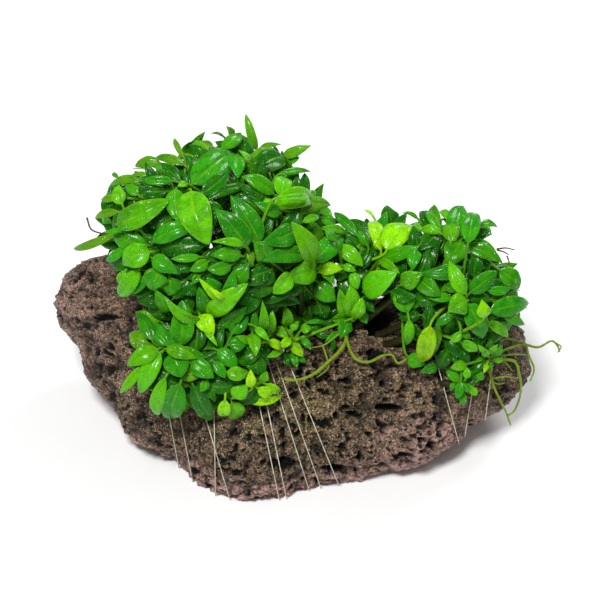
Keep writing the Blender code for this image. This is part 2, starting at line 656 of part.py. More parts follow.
class Garden:
    """Every solid that has its place, so that the next leaf can be kept clear of all of them."""

    def __init__(self, stone, threads):
        self.still = [tree_of(stone)] + threads
        self.stems, self.leaves = {}, []

    def clear(self, name, blade):
        whole = tree_of(blade.solid(LEAF_GAP))
        if any(whole.overlap(tree) for tree in self.still):
            return False
        if any(whole.overlap(tree) for other, tree in self.stems.items() if other != name):
            return False
        low, high = bounds(blade.solid(LEAF_GAP)[0])
        bare = tree_of(blade.solid(LEAF_GAP, whole=False))
        for other, whole_tree, bare_tree, (other_low, other_high) in self.leaves:
            if any(low[i] > other_high[i] or high[i] < other_low[i] for i in range(3)):
                continue
            if (bare.overlap(bare_tree) if other == name else whole.overlap(whole_tree)):
                return False
        return True

    def add(self, name, blade):
        solid = blade.solid()
        self.leaves.append((name, tree_of(solid), tree_of(blade.solid(whole=False)), bounds(solid[0])))


def bounds(points):
    return [min(p[i] for p in points) for i in range(3)], [max(p[i] for p in points) for i in range(3)]


def settle(garden, name, foot, crown, order, make_blade):
    """The clear place of a leaf that is closest to its own place, or None. Later leaves start lower."""
    for step in sorted(range(-INWARD_STEPS, OUTWARD_STEPS), key=abs):
        for height in START_HEIGHTS:
            start = foot.lerp(crown, height) - order * LEAF_SPACING * unit(crown - foot)
            if (start - crown).length > LOWEST_START * (crown - foot).length:
                continue
            blade = make_blade(start, step * ESCAPE_STEP)
            if garden.clear(name, blade):
                garden.add(name, blade)
                return blade
    return None


def grow_plant(garden):
    """The stem and the leaves of every shoot, each leaf in a clear place."""
    crowns = {name: front_crown(*crown) for name, crown in FRONT_CROWNS.items()}
    crowns.update({name: Vector(crown) for name, (crown, _) in BACK_SHOOTS.items()})
    feet = {}
    for name, crown in sorted(crowns.items(), key=lambda item: above_stone(item[1])):
        feet[name] = stem_foot(crown, garden.still + list(garden.stems.values()))
        garden.stems[name] = tree_of(stem_solid(feet[name], crown, LEAF_GAP))
    blades = {name: [] for name in crowns}
    queue = [leaf for leaf in FRONT_LEAVES if leaf[4] >= SMALLEST_SOLID_LEAF]
    for leaf in sorted(queue, key=lambda leaf: TONE_ORDER.index(leaf[5])):
        for name in parent_shoots(leaf, crowns):
            blade = settle(
                garden, name, feet[name], crowns[name], len(blades[name]),
                lambda start, shift: front_blade(leaf, start, shift),
            )
            if blade:
                blades[name].append(blade)
                break
    for name, (_, count) in BACK_SHOOTS.items():
        for index in range(count):
            blade = settle(
                garden, name, feet[name], crowns[name], index,
                lambda start, shift: back_blade(
                    crowns[name], index, start, shift, random.Random(name + str(index))),
            )
            if blade:
                blades[name].append(blade)
    return crowns, feet, blades


def root_solid(foot, crown, radius, places):
    """A root from inside its stem over the stone."""
    centres = [foot.lerp(crown, ROOT_START)]
    for across, down in places[1:]:
        stone = stone_near(across, down)
        near = centres[-1].dot(NEAR) - AIM.dot(NEAR) if stone is None else stone + ROOT_LIFT
        centres.append(grid_point(across, down, near))
    radii = [radius * (1 - ROOT_TAPER * i / len(centres)) for i in range(len(centres))]
    radii[0] = radii[-1] = 0
    return spindle(centres, NEAR, radii, radii, 3)


def add_boolean(obj, operation, cutter):
    modifier = obj.modifiers.new(operation.lower(), "BOOLEAN")
    modifier.operation = operation
    # The leaves of a shoot meet at sharp angles inside its stem, where the exact solver leaves slivers
    if isinstance(cutter, bpy.types.Collection):
        modifier.solver = "MANIFOLD"
        modifier.operand_type = "COLLECTION"
        modifier.collection = cutter
    else:
        modifier.solver = "EXACT"
        modifier.object = cutter


def hollow_cutter(name, place, halves, depth, collection):
    """A stretched ball sunk into the front of the stone."""
    outward = unit(grid_point(*place, stone_near(*place)) - STONE_HEART)
    centre = stone_surface(outward)
    facing = unit(outward + NEAR)
    along = unit(UP - UP.dot(facing) * facing)
    axes = (halves[0] * GRID_STEP * along.cross(facing), halves[1] * GRID_STEP * along, depth * facing)
    bm = bmesh.new()
    bmesh.ops.create_icosphere(bm, subdivisions=2, radius=1)
    shape = reshaped(bm, lambda co: centre + co.x * axes[0] + co.y * axes[1] + co.z * axes[2])
    return mesh_object(name, *shape, collection)


def groove_cutter(name, loop, collection):
    """A bar through the base of the stone for a thread to pass under it, or None if it runs above."""
    lowest = min(point.z for point in loop)
    low = [point for point in loop if point.z < lowest + GROOVE_SEARCH]
    first, last = min(low, key=lambda point: point.y), max(low, key=lambda point: point.y)
    if last.y - first.y < GROOVE_WIDTH:
        return None
    along = unit(Vector((last.x - first.x, last.y - first.y, 0)))
    side = Vector((along.y, -along.x, 0))
    middle = (first + last) / 2
    half = (last - first).length / 2 + GROOVE_OVERRUN
    top = max(point.z for point in low) + THREAD_RADIUS + GROOVE_ROOM

    def corner(co):
        place = middle + co.x * half * along + co.y * GROOVE_WIDTH / 2 * side
        return Vector((place.x, place.y, top if co.z > 0 else -GROOVE_OVERRUN))

    bm = bmesh.new()
    bmesh.ops.create_cube(bm, size=2)
    return mesh_object(name, *reshaped(bm, corner), collection)


def material(name, colour, roughness):
    made = bpy.data.materials.new(name)
    made.use_nodes = True
    surface = made.node_tree.nodes["Principled BSDF"]
    surface.inputs["Base Color"].default_value = (*colour, 1)
    surface.inputs["Roughness"].default_value = roughness
    return made


def new_collection(name, parent, hidden=False):
    collection = bpy.data.collections.new(name)
    parent.children.link(collection)
    collection.hide_render = hidden
    return collection


def hide(obj):
    obj.hide_render = True
    obj.display_type = "WIRE"


def build():
    for old in list(bpy.data.objects):
        bpy.data.objects.remove(old)
    whole = new_collection("anubias_on_stone", bpy.context.scene.collection)
    helpers = new_collection("cutters", bpy.context.scene.collection, hidden=True)

    stone_shape = stone_solid()
    stone = mesh_object("lava_stone", *stone_shape, whole)
    stone.data.materials.append(material("lava", (0.09, 0.06, 0.05), 0.8))
    level = stone.modifiers.new("level_base", "DECIMATE")
    level.decimate_type = "DISSOLVE"
    level.angle_limit = math.radians(0.5)
    for name, hollow in HOLLOWS.items():
        cutter = hollow_cutter(name, *hollow, helpers)
        hide(cutter)
        add_boolean(stone, "DIFFERENCE", cutter)

    threads = []
    for name, (top, bottom, lift) in THREADS.items():
        loop, normal = thread_loop(top, bottom, lift)
        threads.append(tree_of(thread_solid(loop, normal, THREAD_RADIUS + LEAF_GAP)))
        thread = mesh_object(name, *thread_solid(loop, normal, THREAD_RADIUS), whole)
        thread.data.materials.append(material(name + "_white", (0.8, 0.8, 0.76), 0.4))
        cutter = groove_cutter(name + "_groove", loop, helpers)
        if cutter:
            hide(cutter)
            add_boolean(stone, "DIFFERENCE", cutter)

    garden = Garden(stone_shape, threads)
    crowns, feet, blades = grow_plant(garden)
    for name, crown in crowns.items():
        shoot = mesh_object(name, *stem_solid(feet[name], crown), whole)
        shoot.data.materials.append(material(name + "_green", (0.05, 0.3, 0.03), 0.35))
        leaves = new_collection(name + "_leaves", helpers)
        for index, blade in enumerate(blades[name]):
            leaf = mesh_object(f"{name}_leaf_{index + 1}", *blade.solid(), leaves)
            hide(leaf)
        for root, (owner, radius, places) in ROOTS.items():
            if owner == name:
                hide(mesh_object(root, *root_solid(feet[name], crown, radius, places), leaves))
        if leaves.objects:
            add_boolean(shoot, "UNION", leaves)
        shoot.modifiers.new("thin_out", "DECIMATE").ratio = THINNING


build()
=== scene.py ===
"""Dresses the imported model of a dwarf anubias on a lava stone.

Lengths inside the layout are in millimetres and are turned into metres as each mesh is made. The plant is laid
out again as its solids were, so that every fine leaf lies where its solid is, and smaller leaves fill in between.
"""

import functools
import math
import random

import bmesh
import bpy
import numpy as np
from bpy.props import FloatProperty, FloatVectorProperty, IntProperty, PointerProperty
from mathutils import Matrix, Vector, noise
from mathutils.bvhtree import BVHTree


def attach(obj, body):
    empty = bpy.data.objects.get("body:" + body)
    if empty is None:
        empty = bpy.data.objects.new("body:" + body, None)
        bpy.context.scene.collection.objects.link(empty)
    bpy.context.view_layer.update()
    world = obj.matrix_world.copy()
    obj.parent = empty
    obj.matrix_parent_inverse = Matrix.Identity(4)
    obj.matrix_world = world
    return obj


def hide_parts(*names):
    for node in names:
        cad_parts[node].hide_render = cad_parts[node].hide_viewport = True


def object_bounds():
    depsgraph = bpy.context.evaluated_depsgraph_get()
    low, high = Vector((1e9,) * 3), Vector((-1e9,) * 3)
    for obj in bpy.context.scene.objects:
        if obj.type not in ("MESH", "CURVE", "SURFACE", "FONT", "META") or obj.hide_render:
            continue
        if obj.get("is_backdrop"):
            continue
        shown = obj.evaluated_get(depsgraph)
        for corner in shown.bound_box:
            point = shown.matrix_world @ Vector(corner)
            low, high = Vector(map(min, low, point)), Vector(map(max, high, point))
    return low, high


bl_info = {
    "name": "Anubias on a lava stone",
    "version": (1, 0, 0),
    "blender": (4, 5, 0),
    "location": "View3D > Sidebar > Anubias",
    "description": "Fine leaves, roots, tying thread and porous stone for the packed model",
    "category": "Object",
}

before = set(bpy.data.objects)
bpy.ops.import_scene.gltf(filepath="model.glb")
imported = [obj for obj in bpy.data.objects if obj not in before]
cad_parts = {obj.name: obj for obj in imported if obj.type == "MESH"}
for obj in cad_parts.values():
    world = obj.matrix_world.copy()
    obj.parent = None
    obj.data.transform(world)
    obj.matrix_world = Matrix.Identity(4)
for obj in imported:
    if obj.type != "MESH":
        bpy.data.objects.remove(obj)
CAD_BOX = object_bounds()

MM = 0.001

# The viewer's grid
VIEW_RISE = math.radians(40)
GRID_STEP = 0.4
GRID_MIDDLE = 300.0
EYE_DISTANCE = 750.0
RIGHT = Vector((1, 0, 0))
UP = Vector((0, math.sin(VIEW_RISE), math.cos(VIEW_RISE)))
NEAR = Vector((0, -math.cos(VIEW_RISE), math.sin(VIEW_RISE)))
AIM = 3.4 * RIGHT + 48.4 * UP
VIEW_DEPTH = 70.0
VIEW_STEP = 2.5

# The stone: centre and half sizes of each swelling, and a level base cut at zero height
STONE_HEART = Vector((0, 2, 22))
SWELLINGS = {
    "body": ((-2, 5, 20), (72, 42, 30)),
    "left_head": ((-66, 32, 36), (32, 24, 21)),
    "left_foot": ((-54, 16, 24), (33, 27, 25)),
    "left_crown": ((-34, 20, 36), (46, 32, 24)),
    "left_front": ((-42, -4, 15), (31, 26, 22)),
    "front": ((-14, -16, 13), (34, 32, 28)),
    "middle_front": ((14, -9, 14), (38, 32, 24)),
    "right_top": ((28, 4, 30), (50, 32, 20)),
    "right_front": ((46, -5, 14), (32, 31, 21)),
    "right_end": ((65, 8, 23), (33, 27, 23)),
}
SWELLING_BLEND = 20
# Bumps and dips: how far the surface lies below the swellings' outline, its swing, and the spacing of the bumps
RELIEF_MEAN = 2.1
RELIEF_SWING = 2.4
RELIEF_SPACING = 16.0
STONE_SUBDIVISIONS = 4
FOOT_HEIGHT = 8.0
BASE_TOLERANCE = 0.01
EDGE_TOLERANCE = 0.02

# Hollows in the front of the stone: grid place, half sizes across and down in grid steps, and depth
HOLLOWS = {
    "cavity": ((383, 318), (17, 17), 10),
    "pit_below_cavity": ((379, 358), (7, 12), 6),
    "pit_middle": ((352, 381), (5, 4), 3),
    "pit_right": ((389, 384), (5, 4), 3),
    "ledge_slot": ((396, 410), (15, 4), 4),
    "base_slot_left": ((281, 470), (16, 6), 4),
    "base_slot_right": ((337, 475), (15, 4), 4),
    "left_hollow": ((147, 295), (8, 6), 4),
    "left_crease": ((95, 314), (16, 4), 3),
}

# The tying thread: each loop passes through two places on the grid, and some ride higher to cross another
THREAD_RADIUS = 0.3
THREAD_GAP = 0.3
THREAD_SLACK = 0.8
THREAD_STEPS = 18
GROOVE_ROOM = 0.45
LONGEST_REACH = 130.0
THREADS = {
    "tying_thread_01": ((170.5, 423), (176.5, 455), 0.0),
    "tying_thread_02": ((179.5, 413), (188, 457), 0.0),
    "tying_thread_03": ((198, 392), (220.5, 468), 0.0),
    "tying_thread_04": ((213.6, 380), (215, 466), 1.2),
    "tying_thread_05": ((248, 352), (273, 470), 0.0),
    "tying_thread_06": ((256, 352), (280.5, 470), 1.2),
    "tying_thread_07": ((264, 349), (299.5, 460), 0.0),
    "tying_thread_08": ((272, 350), (311, 460), 0.0),
    "tying_thread_09": ((284, 351), (328.5, 460), 0.0),
    "tying_thread_10": ((436, 359), (451.5, 416), 0.0),
    "tying_thread_11": ((473, 387), (468, 417), 1.2),
    "tying_thread_12": ((490, 384), (486.5, 410), 0.0),
}

# The plant's outline: centre and half sizes of each clump of leaves
CLUMPS = {
    "crest": ((-35, 15, 82), (48, 38, 36)),
    "front_left": ((-39, -22, 52), (36, 22, 20)),
    "low_middle": ((-5, -2, 45), (25, 18, 15)),
    "saddle": ((17, 21, 60), (30, 25, 25)),
    "right": ((61, 8, 58), (36, 28, 32)),
    "right_foot": ((66, -17, 38), (15, 12, 12)),
}

# Shoots
STEM_RADIUS = 1.3
STEM_FOOT_RADIUS = 1.7
STEM_GAPS = (0.6, 1.0, 1.5, 2.2)
STEM_SIDES = 5
FOOT_SHIFTS = range(-18, 19, 2)
START_HEIGHTS = (1.0, 0.8, 0.6)
LOWEST_START = 0.8
CROWN_DEPTH = 11.0
CROWN_CLEARANCE = 4.0
LEAF_CLEARANCE = 3.0
LEAF_THICKNESS = 0.7
PETIOLE_RADIUS = 0.45
STALK_INSET = 1.0
# A leaf's base lies deeper in the plant than its tip, and no leaf is seen too steeply
BASE_DEPTH = 2.0
STEEPEST = 0.8
NARROWEST_VIEW = 0.7
OUTWARD_LEAN = 0.55
ARCH = 0.1
BRIGHT_ARCH = 0.16
PARENT_CHOICES = 3
FOLD_COST = 25.0
STRAIGHTEST_FOLD = 0.35
SMALLEST_SOLID_LEAF = 9
LEAF_GAP = 0.35
LEAF_SPACING = 0.55
# Stations of a blade: how far along it, and how wide it is there as a share of its full width
BLADE_SHAPE = ((0.0, 0.0), (0.36, 0.98), (0.76, 0.7), (1.0, 0.0))
# A three-sided section is this much wider than its half width
SPINDLE_WIDTH = 2 * math.sin(math.radians(120))
ESCAPE_STEP = 0.8
OUTWARD_STEPS = 22
INWARD_STEPS = 5
BLADE_DEPTH = {"o": 6.0, "d": 5.0, "g": 3.0, "s": 2.0, "b": 1.0, "y": 0.0}
TONE_ORDER = "odgsby"

# Each front shoot's crown on the grid
FRONT_CROWNS = {
    "shoot_crest_left": (174, 192),
    "shoot_crest_front": (200, 190),
    "shoot_crest_top": (250, 160),
    "shoot_crest_right": (280, 176),
    "shoot_shoulder": (272, 206),
    "shoot_middle_left": (248, 252),
    "shoot_middle": (313, 262),
    "shoot_middle_low": (300, 282),
    "shoot_left_upper": (154, 248),
    "shoot_left_low": (152, 270),
    "shoot_left_outer": (122, 228),
    "shoot_left_inner": (206, 264),
    "shoot_front_upper": (206, 314),
    "shoot_front_left": (160, 346),
    "shoot_front_middle": (182, 350),
    "shoot_front_low": (188, 378),
    "shoot_front_right": (220, 358),
    "shoot_foot_left": (236, 396),
    "shoot_low_left": (262, 338),
    "shoot_low_right": (294, 340),
    "shoot_saddle_front": (350, 322),
    "shoot_saddle_left": (360, 262),
    "shoot_saddle_top": (386, 252),
    "shoot_saddle_low": (372, 292),
    "shoot_saddle_right": (404, 290),
    "shoot_saddle_back": (328, 234),
    "shoot_right_back": (438, 230),
    "shoot_right_top": (466, 238),
    "shoot_right_middle": (462, 296),
    "shoot_right_outer": (496, 304),
    "shoot_right_front": (430, 330),
    "shoot_right_low": (462, 342),
    "shoot_right_foot": (463, 384),
    "shoot_right_rosette": (490, 358),
}

# The leaves of the front: base across and down, tip across and down, width seen, and tone
# (olive, dark, green, sheen, bright, yellowish). The dark tone is painted shade for leaves in the shade of others.
FRONT_LEAVES = (
    # Crest left
    (184, 158, 174, 136, 5, "o"), (184, 165, 154, 157, 8, "o"), (180, 180, 161, 162, 11, "d"),
    (160, 163, 134, 165, 10, "o"), (172, 181, 140, 181, 8, "s"), (176, 189, 178, 221, 16, "g"),
    (172, 218, 149, 227, 10, "d"),
    # Crest front
    (191, 191, 209, 244, 27, "b"), (192, 184, 240, 146, 26, "s"), (222, 148, 241, 132, 12, "g"),
    (202, 194, 229, 169, 14, "d"), (243, 186, 206, 200, 9, "d"),
    # Crest top
    (257, 150, 247, 114, 8, "o"), (236, 156, 238, 178, 14, "s"), (251, 156, 278, 150, 9, "o"),
    (208, 152, 190, 143, 9, "o"), (213, 147, 197, 141, 7, "o"), (234, 136, 227, 126, 7, "o"),
    # Crest right
    (283, 156, 311, 145, 10, "o"), (283, 163, 299, 157, 11, "g"), (283, 156, 245, 176, 21, "d"),
    (274, 194, 242, 176, 13, "g"), (280, 196, 286, 175, 15, "b"),
    # Shoulder
    (270, 199, 238, 184, 10, "d"), (274, 205, 317, 200, 18, "b"), (276, 198, 312, 194, 7, "b"),
    (305, 198, 316, 190, 8, "g"), (292, 212, 332, 205, 14, "o"), (280, 213, 255, 202, 12, "s"),
    (266, 199, 270, 209, 8, "b"),
    # Middle left
    (260, 243, 231, 195, 20, "s"), (247, 247, 216, 209, 20, "s"), (243, 245, 213, 242, 7, "b"),
    (268, 258, 254, 242, 17, "g"), (241, 256, 212, 256, 13, "g"), (246, 253, 253, 265, 12, "o"),
    # Middle
    (297, 229, 263, 242, 19, "s"), (312, 262, 294, 224, 17, "b"), (305, 256, 262, 261, 14, "s"),
    (316, 268, 286, 279, 20, "b"), (314, 262, 345, 235, 18, "s"), (317, 268, 343, 269, 12, "y"),
    (322, 267, 334, 284, 10, "b"), (333, 271, 350, 275, 15, "d"),
    # Middle low
    (291, 274, 274, 294, 14, "b"), (308, 280, 305, 305, 18, "d"), (318, 282, 336, 301, 18, "g"),
    (272, 270, 262, 286, 10, "d"),
    # Left upper
    (153, 242, 197, 225, 15, "s"), (160, 246, 209, 241, 19, "d"), (146, 245, 111, 231, 17, "g"),
    (150, 252, 122, 265, 20, "b"), (152, 258, 177, 274, 14, "s"), (133, 262, 109, 266, 13, "d"),
    (133, 229, 149, 219, 10, "g"),
    # Left low
    (160, 270, 154, 291, 20, "g"), (170, 277, 168, 296, 18, "g"), (139, 269, 118, 296, 14, "b"),
    (146, 278, 124, 294, 12, "s"), (125, 271, 117, 284, 7, "b"),
    # Left outer
    (116, 234, 72, 249, 7.5, "o"), (118, 212, 92, 218, 7, "o"), (125, 247, 104, 261, 8, "s"),
    (117, 224, 168, 199, 20, "b"),
    # Left, at the top
    (122, 204, 119, 185, 12, "b"), (138, 195, 125, 184, 9, "g"), (140, 181, 109, 184, 9, "o"),
    (117, 196, 100, 199, 7, "o"),
    # Left inner
    (200, 257, 171, 259, 7, "g"), (192, 264, 176, 272, 11, "d"), (208, 262, 190, 271, 10, "g"),
    (231, 265, 208, 269, 11, "g"), (232, 272, 212, 275, 8, "d"), (200, 275, 193, 284, 7, "g"),
    (221, 290, 208, 278, 11, "s"),
    # Front upper
    (200, 320, 166, 300, 10, "b"), (209, 316, 248, 284, 17, "b"), (217, 300, 199, 279, 7, "y"),
    (206, 313, 199, 288, 12, "s"), (200, 315, 213, 334, 15, "y"), (224, 298, 233, 271, 11, "s"),
    (236, 285, 249, 264, 14, "g"), (219, 326, 247, 307, 12, "g"),
    # Front left
    (158, 349, 127, 366, 15, "b"), (150, 356, 128, 366, 10, "d"), (143, 366, 119, 394, 8, "b"),
    (160, 353, 139, 394, 15, "b"), (152, 340, 136, 312, 12, "s"), (160, 321, 135, 311, 9, "b"),
    (168, 346, 148, 321, 13, "s"), (148, 343, 129, 333, 16, "o"), (173, 310, 156, 291, 12, "g"),
    # Front middle
    (172, 353, 181, 377, 21, "s"), (166, 349, 196, 358, 12, "b"), (176, 352, 205, 357, 14, "g"),
    (180, 366, 200, 376, 17, "o"), (180, 345, 182, 300, 19, "g"), (170, 345, 186, 314, 14, "s"),
    (195, 351, 196, 314, 15, "d"),
    # Front low
    (165, 378, 157, 417, 12, "b"), (180, 384, 173, 423, 20, "s"), (193, 385, 211, 424, 15, "d"),
    (207, 380, 200, 392, 8, "g"),
    # Front right
    (191, 362, 214, 378, 15, "s"), (214, 362, 225, 378, 9, "s"), (217, 350, 237, 369, 13, "s"),
    (229, 345, 246, 345, 13, "s"), (232, 334, 249, 312, 15, "s"), (250, 342, 236, 336, 7, "b"),
    (227, 372, 248, 372, 12, "b"), (207, 385, 248, 380, 12, "d"),
    # Foot left
    (233, 398, 248, 385, 14, "b"), (225, 400, 225, 418, 11, "y"), (232, 402, 240, 419, 15, "b"),
    (252, 387, 251, 370, 9, "y"),
    # Foot right
    (258, 388, 272, 397, 10, "y"), (249, 402, 283, 397, 7, "y"), (266, 384, 280, 392, 8, "y"),
    (262, 381, 267, 372, 8, "b"),
    # Low left
    (252, 334, 256, 356, 11, "b"), (262, 330, 263, 303, 9, "b"), (271, 334, 273, 311, 8, "b"),
    (252, 333, 255, 309, 7, "g"), (256, 327, 270, 340, 7, "b"), (268, 342, 282, 350, 8, "y"),
    (280, 350, 268, 357, 7, "b"),
    # Low right
    (286, 326, 285, 306, 10, "b"), (277, 327, 289, 338, 9, "b"), (290, 339, 279, 347, 8, "y"),
    (292, 344, 303, 357, 9, "y"), (302, 339, 311, 350, 7, "g"), (292, 352, 297, 368, 8, "s"),
    (285, 352, 289, 366, 7, "d"), (302, 330, 311, 328, 8, "b"), (318, 303, 322, 320, 16, "d"),
    (292, 331, 299, 321, 7, "b"),
    # Saddle front
    (356, 318, 352, 286, 16, "b"), (348, 319, 340, 291, 12, "b"), (353, 318, 362, 299, 12, "b"),
    (347, 318, 332, 320, 12, "b"), (349, 320, 342, 337, 13, "s"), (360, 311, 367, 324, 9, "g"),
    # Saddle left
    (338, 246, 363, 266, 13, "b"), (343, 266, 356, 271, 7, "b"), (353, 272, 358, 289, 10, "b"),
    (358, 236, 334, 211, 9, "s"), (372, 246, 348, 217, 12, "d"), (368, 246, 359, 230, 8, "g"),
    (373, 251, 357, 246, 10, "o"),
    # Saddle top
    (381, 250, 373, 216, 13, "y"), (381, 251, 380, 232, 14, "y"), (387, 250, 411, 221, 23, "y"),
    (394, 230, 388, 205, 18, "d"), (383, 258, 418, 246, 13, "g"), (380, 261, 399, 273, 8, "b"),
    # Saddle low
    (363, 292, 396, 273, 22, "b"), (364, 297, 388, 292, 8, "s"), (366, 302, 373, 312, 8, "d"),
    # Saddle right
    (401, 285, 423, 273, 16, "b"), (404, 291, 408, 312, 18, "g"), (420, 315, 398, 319, 10, "d"),
    (416, 250, 412, 268, 12, "s"), (418, 278, 440, 296, 15, "g"),
    # Saddle back
    (322, 245, 311, 220, 10, "o"), (321, 218, 338, 224, 11, "g"), (345, 233, 321, 228, 7, "b"),
    (335, 240, 325, 229, 7, "g"), (303, 222, 320, 217, 7, "b"),
    # Right back
    (432, 228, 419, 210, 14, "d"), (441, 233, 427, 209, 8, "g"), (450, 220, 438, 210, 8, "b"),
    (451, 242, 448, 221, 14, "b"), (440, 233, 418, 230, 8, "b"), (439, 234, 421, 250, 16, "d"),
    # Right top
    (458, 238, 464, 204, 21, "s"), (468, 243, 477, 207, 15, "s"), (461, 240, 449, 264, 20, "g"),
    (481, 224, 499, 226, 7, "g"), (466, 247, 503, 263, 12, "g"), (475, 240, 497, 252, 9, "g"),
    # Right middle
    (466, 294, 450, 260, 13, "b"), (470, 293, 498, 271, 15, "s"), (462, 268, 422, 272, 13, "s"),
    (467, 301, 449, 312, 19, "b"), (468, 304, 484, 340, 19, "s"), (484, 318, 482, 300, 12, "y"),
    # Right outer
    (490, 311, 535, 304, 17, "s"), (503, 313, 525, 325, 9, "g"), (500, 270, 521, 288, 16, "g"),
    (488, 290, 511, 288, 8, "s"), (490, 300, 506, 293, 8, "o"), (488, 322, 508, 338, 9, "b"),
    # Right front
    (430, 326, 421, 364, 16, "y"), (439, 326, 432, 358, 13, "o"), (409, 320, 406, 346, 9, "b"),
    (408, 357, 425, 366, 13, "g"), (438, 365, 421, 373, 10, "s"), (448, 350, 440, 370, 12, "d"),
    (452, 314, 435, 327, 8, "s"),
    # Right low
    (460, 332, 450, 342, 7, "b"), (463, 331, 471, 339, 7, "g"), (461, 342, 478, 352, 9, "b"),
    (467, 364, 450, 368, 9, "b"),
    # Right foot
    (460, 381, 446, 371, 8, "g"), (461, 382, 457, 399, 8, "s"), (464, 384, 470, 393, 7, "g"),
    (462, 393, 463, 406, 7, "g"), (466, 378, 467, 368, 7, "b"),
    # Right rosette
    (478, 380, 482, 372, 7, "g"), (472, 388, 477, 395, 7, "b"), (488, 362, 491, 370, 7, "g"),
    (488, 356, 480, 346, 7, "b"), (492, 354, 490, 342, 7, "g"), (494, 356, 502, 346, 7, "g"),
)

# Shoots behind the plant: the crown in millimetres, and how many leaves
BACK_SHOOTS = {
    "shoot_back_left": ((-57, 42, 62), 5),
    "shoot_back_crest": ((-42, 46, 82), 6),
    "shoot_back_shoulder": ((-19, 44, 69), 6),
    "shoot_back_low_left": ((-36, 56, 56), 5),
    "shoot_back_middle": ((10, 44, 60), 5),
    "shoot_back_saddle": ((34, 38, 52), 5),
    "shoot_back_right": ((57, 34, 56), 6),
    "shoot_back_end": ((74, 24, 45), 5),
}
GOLDEN_ANGLE = math.radians(137.5)
TURN_SPREAD = 0.3
FIRST_SPREAD = 0.56
SPREAD_STEP = 0.16
BACK_STALK = 5.5
BACK_LENGTHS = (15, 19)
BACK_WIDTHS = (5.5, 7.5)
BACK_DROOP = 0.25
BACK_SIDEWAYS = 0.15
BACK_ARCH = 0.12

# Roots and runners that lie over the stone: the shoot they grow from, the radius, then places on the grid
ROOT_START = 0.7
ROOT_LIFT = 3.0
ROOTS = {
    "runner_long": ("shoot_saddle_front", 0.7, (
        (350, 324), (346, 336), (354, 357), (368, 362), (382, 356), (392, 355), (398, 363), (408, 358))),
    "runner_back": ("shoot_saddle_front", 0.8, (
        (349, 326), (344, 345), (327, 363), (312, 375), (296, 380), (281, 379))),
    "root_right_upper": ("shoot_right_rosette", 0.6, (
        (492, 356), (505, 350), (524, 345), (529, 356), (534, 369), (530, 382))),
    "root_right_far": ("shoot_right_rosette", 0.6, (
        (492, 355), (503, 339), (527, 345), (539, 347), (551, 341), (557, 345), (560, 352))),
    "root_right_middle": ("shoot_right_rosette", 0.6, (
        (493, 359), (513, 361), (519, 373), (521, 387), (519, 400), (514, 411), (507, 416))),
    "root_right_low": ("shoot_right_rosette", 0.6, (
        (491, 362), (493, 384), (500, 400), (506, 412), (511, 426))),
}

# Small leaves that only the visual model shows, laid out as the others are
SMALL_LEAVES = (
    (187, 184, 178, 186, 6, "b"), (151, 176, 129, 176, 4, "o"), (260, 148, 281, 144, 6, "o"),
    (224, 137, 211, 133, 3, "d"), (278, 175, 312, 171, 6, "g"), (130, 226, 102, 232, 4, "g"),
    (121, 198, 111, 200, 4, "b"), (118, 178, 111, 173, 4, "g"), (223, 299, 210, 288, 5, "y"),
    (204, 326, 217, 345, 6, "b"), (307, 323, 327, 323, 4, "g"), (297, 354, 306, 362, 7, "s"),
    (418, 219, 403, 212, 4, "g"), (481, 226, 491, 232, 6, "g"), (442, 295, 457, 276, 6, "o"),
    (455, 383, 451, 391, 5, "g"), (484, 352, 478, 345, 5, "b"), (486, 349, 492, 340, 5, "g"),
    (490, 352, 498, 345, 6, "b"), (483, 358, 476, 362, 5, "g"), (495, 360, 503, 358, 5, "b"),
    (487, 364, 484, 373, 5, "y"), (373, 216, 364, 209, 3, "y"), (412, 288, 408, 312, 17, "g"),
    (420, 317, 398, 315, 10, "d"), (452, 298, 425, 296, 8, "g"), (455, 310, 436, 327, 7, "g"),
    (391, 292, 416, 296, 12, "d"), (430, 305, 424, 330, 10, "d"), (440, 300, 410, 300, 14, "d"),
    (446, 290, 462, 284, 9, "s"), (400, 285, 384, 291, 9, "d"), (338, 332, 325, 342, 6, "g"),
    (330, 336, 316, 334, 6, "d"), (334, 340, 330, 352, 5, "d"), (458, 284, 468, 276, 9, "d"),
    (472, 286, 462, 279, 8, "d"),
)

